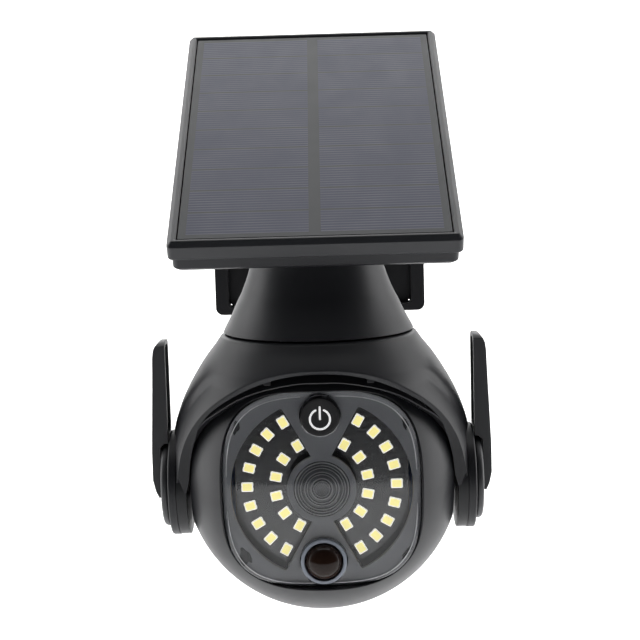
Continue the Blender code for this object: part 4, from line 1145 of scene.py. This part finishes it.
colour = mixed(in_cell, (0.052, 0.055, 0.058), blue)
colour = mixed(number("MULTIPLY", finger_seen, 0.8), colour, (0.15, 0.155, 0.18))
smear = ramp(noise(cell_place, 0.12, 3.0), 0.3, 0.7, 0.34, 0.42)
fit(resin_shader, Base_Color=colour, Specular_IOR_Level=0.2, Roughness=smear)
bumped(resin_shader, number("ADD", finger_seen, in_cell), 0.25, 0.03)

# ------ Screws
# Pan-head steel screws with a cross recess: four up through the tray, four in the back of the ball
# and four through the arm's foot. One is turned and cut, and the others are copies of it.
zinc, zinc_shader = plain_material("zinc_steel", (0.52, 0.52, 0.53), 0.32, 1.0)
gloss = ranged(noise(own_place(zinc_shader), 900.0), 0.0, 1.0, 0.24, 0.42)
fit(zinc_shader, Roughness=gloss)


def screw(name, head_r, head_h, shank_r, length):
    """Head upwards from height 0, shank down, threaded by close rings."""
    profile = [(0.0, head_h)]
    profile += [(head_r * b, head_h * (0.35 + 0.65 * a)) for a, b in arc(1.0, 0.0, math.pi / 2, 8)[1:]]
    profile += [(head_r, 0.0), (shank_r * 0.8, 0.0), (shank_r * 0.8, -0.6)]
    z = -0.8
    while z > -length + 1.2:
        profile += [(shank_r, z), (shank_r * 0.76, z - 0.35)]
        z -= 0.7
    profile += [(shank_r * 0.5, -length + 0.4), (0.0, -length)]
    obj = turned(name, 40, profile)
    for arm_a, arm_b in ((0.13, 0.58), (0.58, 0.13)):
        slot = rounded_outline(head_r * arm_a, head_r * arm_b, head_r * 0.06, steps=3)
        obj = carve(obj, sawn("cross", slot, head_h * 0.35, head_h + 1.0, "Z"))
    ease(obj, 0.0, smooth=30.0)
    obj.data.transform(Matrix.Translation(-BALL))
    return obj


def driven(master, node, body, spot, way):
    """A copy of the screw with its seat at the spot and its head pointing the given way."""
    obj = master.copy()
    obj.data = master.data.copy()
    bpy.context.scene.collection.objects.link(obj)
    obj.name = node + "_shown"
    turn = Vector(way).to_track_quat("Z", "Y").to_matrix().to_4x4()
    obj.data.transform(Matrix.Translation(spot) @ turn)
    return finish(obj, zinc, body, "steel", node)


tilt = Matrix.Rotation(PANEL_TILT, 3, "X")
ends = (PANEL_FRONT + 7.2, PANEL_REAR - 7.2)
tray_spots = [Vector((a, b, UNDERSIDE - 0.3)) for a in (-PANEL_HALF + 7.2, PANEL_HALF - 7.2) for b in ends]
tray_places = [hinge_place + tilt @ spot * MM for spot in tray_spots]
shell_places = [BALL + Vector((a, 17.3, b)) * MM for a, b in SHELL_SCREWS]
foot_spots = [(a, foot_front - 0.3, b) for a in (-21.0, 21.0) for b in (52.0, 78.0)]
foot_places = [BALL + Vector(spot) * MM for spot in foot_spots]
BATCHES = [
    ("tray_screw", (2.6, 1.2, 1.2, 9.0), "panel", tray_places, tilt @ Vector((0, 0, -1))),
    ("shell_screw", (2.8, 1.9, 1.3, 24.0), "head", shell_places, (0, 1, 0)),
    ("foot_screw", (2.8, 2.0, 1.4, 6.6), "mount", foot_places, (0, -1, 0)),
]
for name, sizes, body, places, way in BATCHES:
    master = screw(name, *sizes)
    for index, place in enumerate(places, 1):
        driven(master, f"{name}_{index}", body, place, way)
    bpy.data.objects.remove(master, do_unlink=True)

# ------ Pieces kept as they are
# Rubber, steel, circuit boards and the battery, mostly inside. Their shapes are right as they
# stand, so they take a finish of their own.
rubber = moulded("rubber", (0.016, 0.016, 0.016), 0.75, 0.35, 0.02)
black_inner = moulded("inner_plastic", (0.014, 0.014, 0.015), 0.45, 0.25, 0.01)
inner_board = moulded("inner_board", (0.008, 0.035, 0.016), 0.35, 0.6, 0.02)
sleeve = moulded("battery_sleeve", (0.020, 0.10, 0.30), 0.28, 0.5, 0.004, 0.4)
KEPT = {
    rubber: ["laminate_pad", "friction_washer_left", "friction_washer_right", "shell_seal", "cover_gasket"]
    + ["swivel_washer"],
    black_inner: ["swivel_retainer", "button_switch", "battery_cradle"],
    inner_board: ["charge_board", "control_board"],
    sleeve: ["battery_cell"],
    zinc: ["hinge_bolt", "hinge_nut", "pivot_bolt_left", "pivot_bolt_right", "sensor_can"]
    + [f"board_screw_{i}" for i in range(1, 5)] + [f"swivel_screw_{i}" for i in range(1, 4)],
}
for material, names in KEPT.items():
    for name in names:
        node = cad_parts[name]
        node.data.materials.clear()
        node.data.materials.append(material)
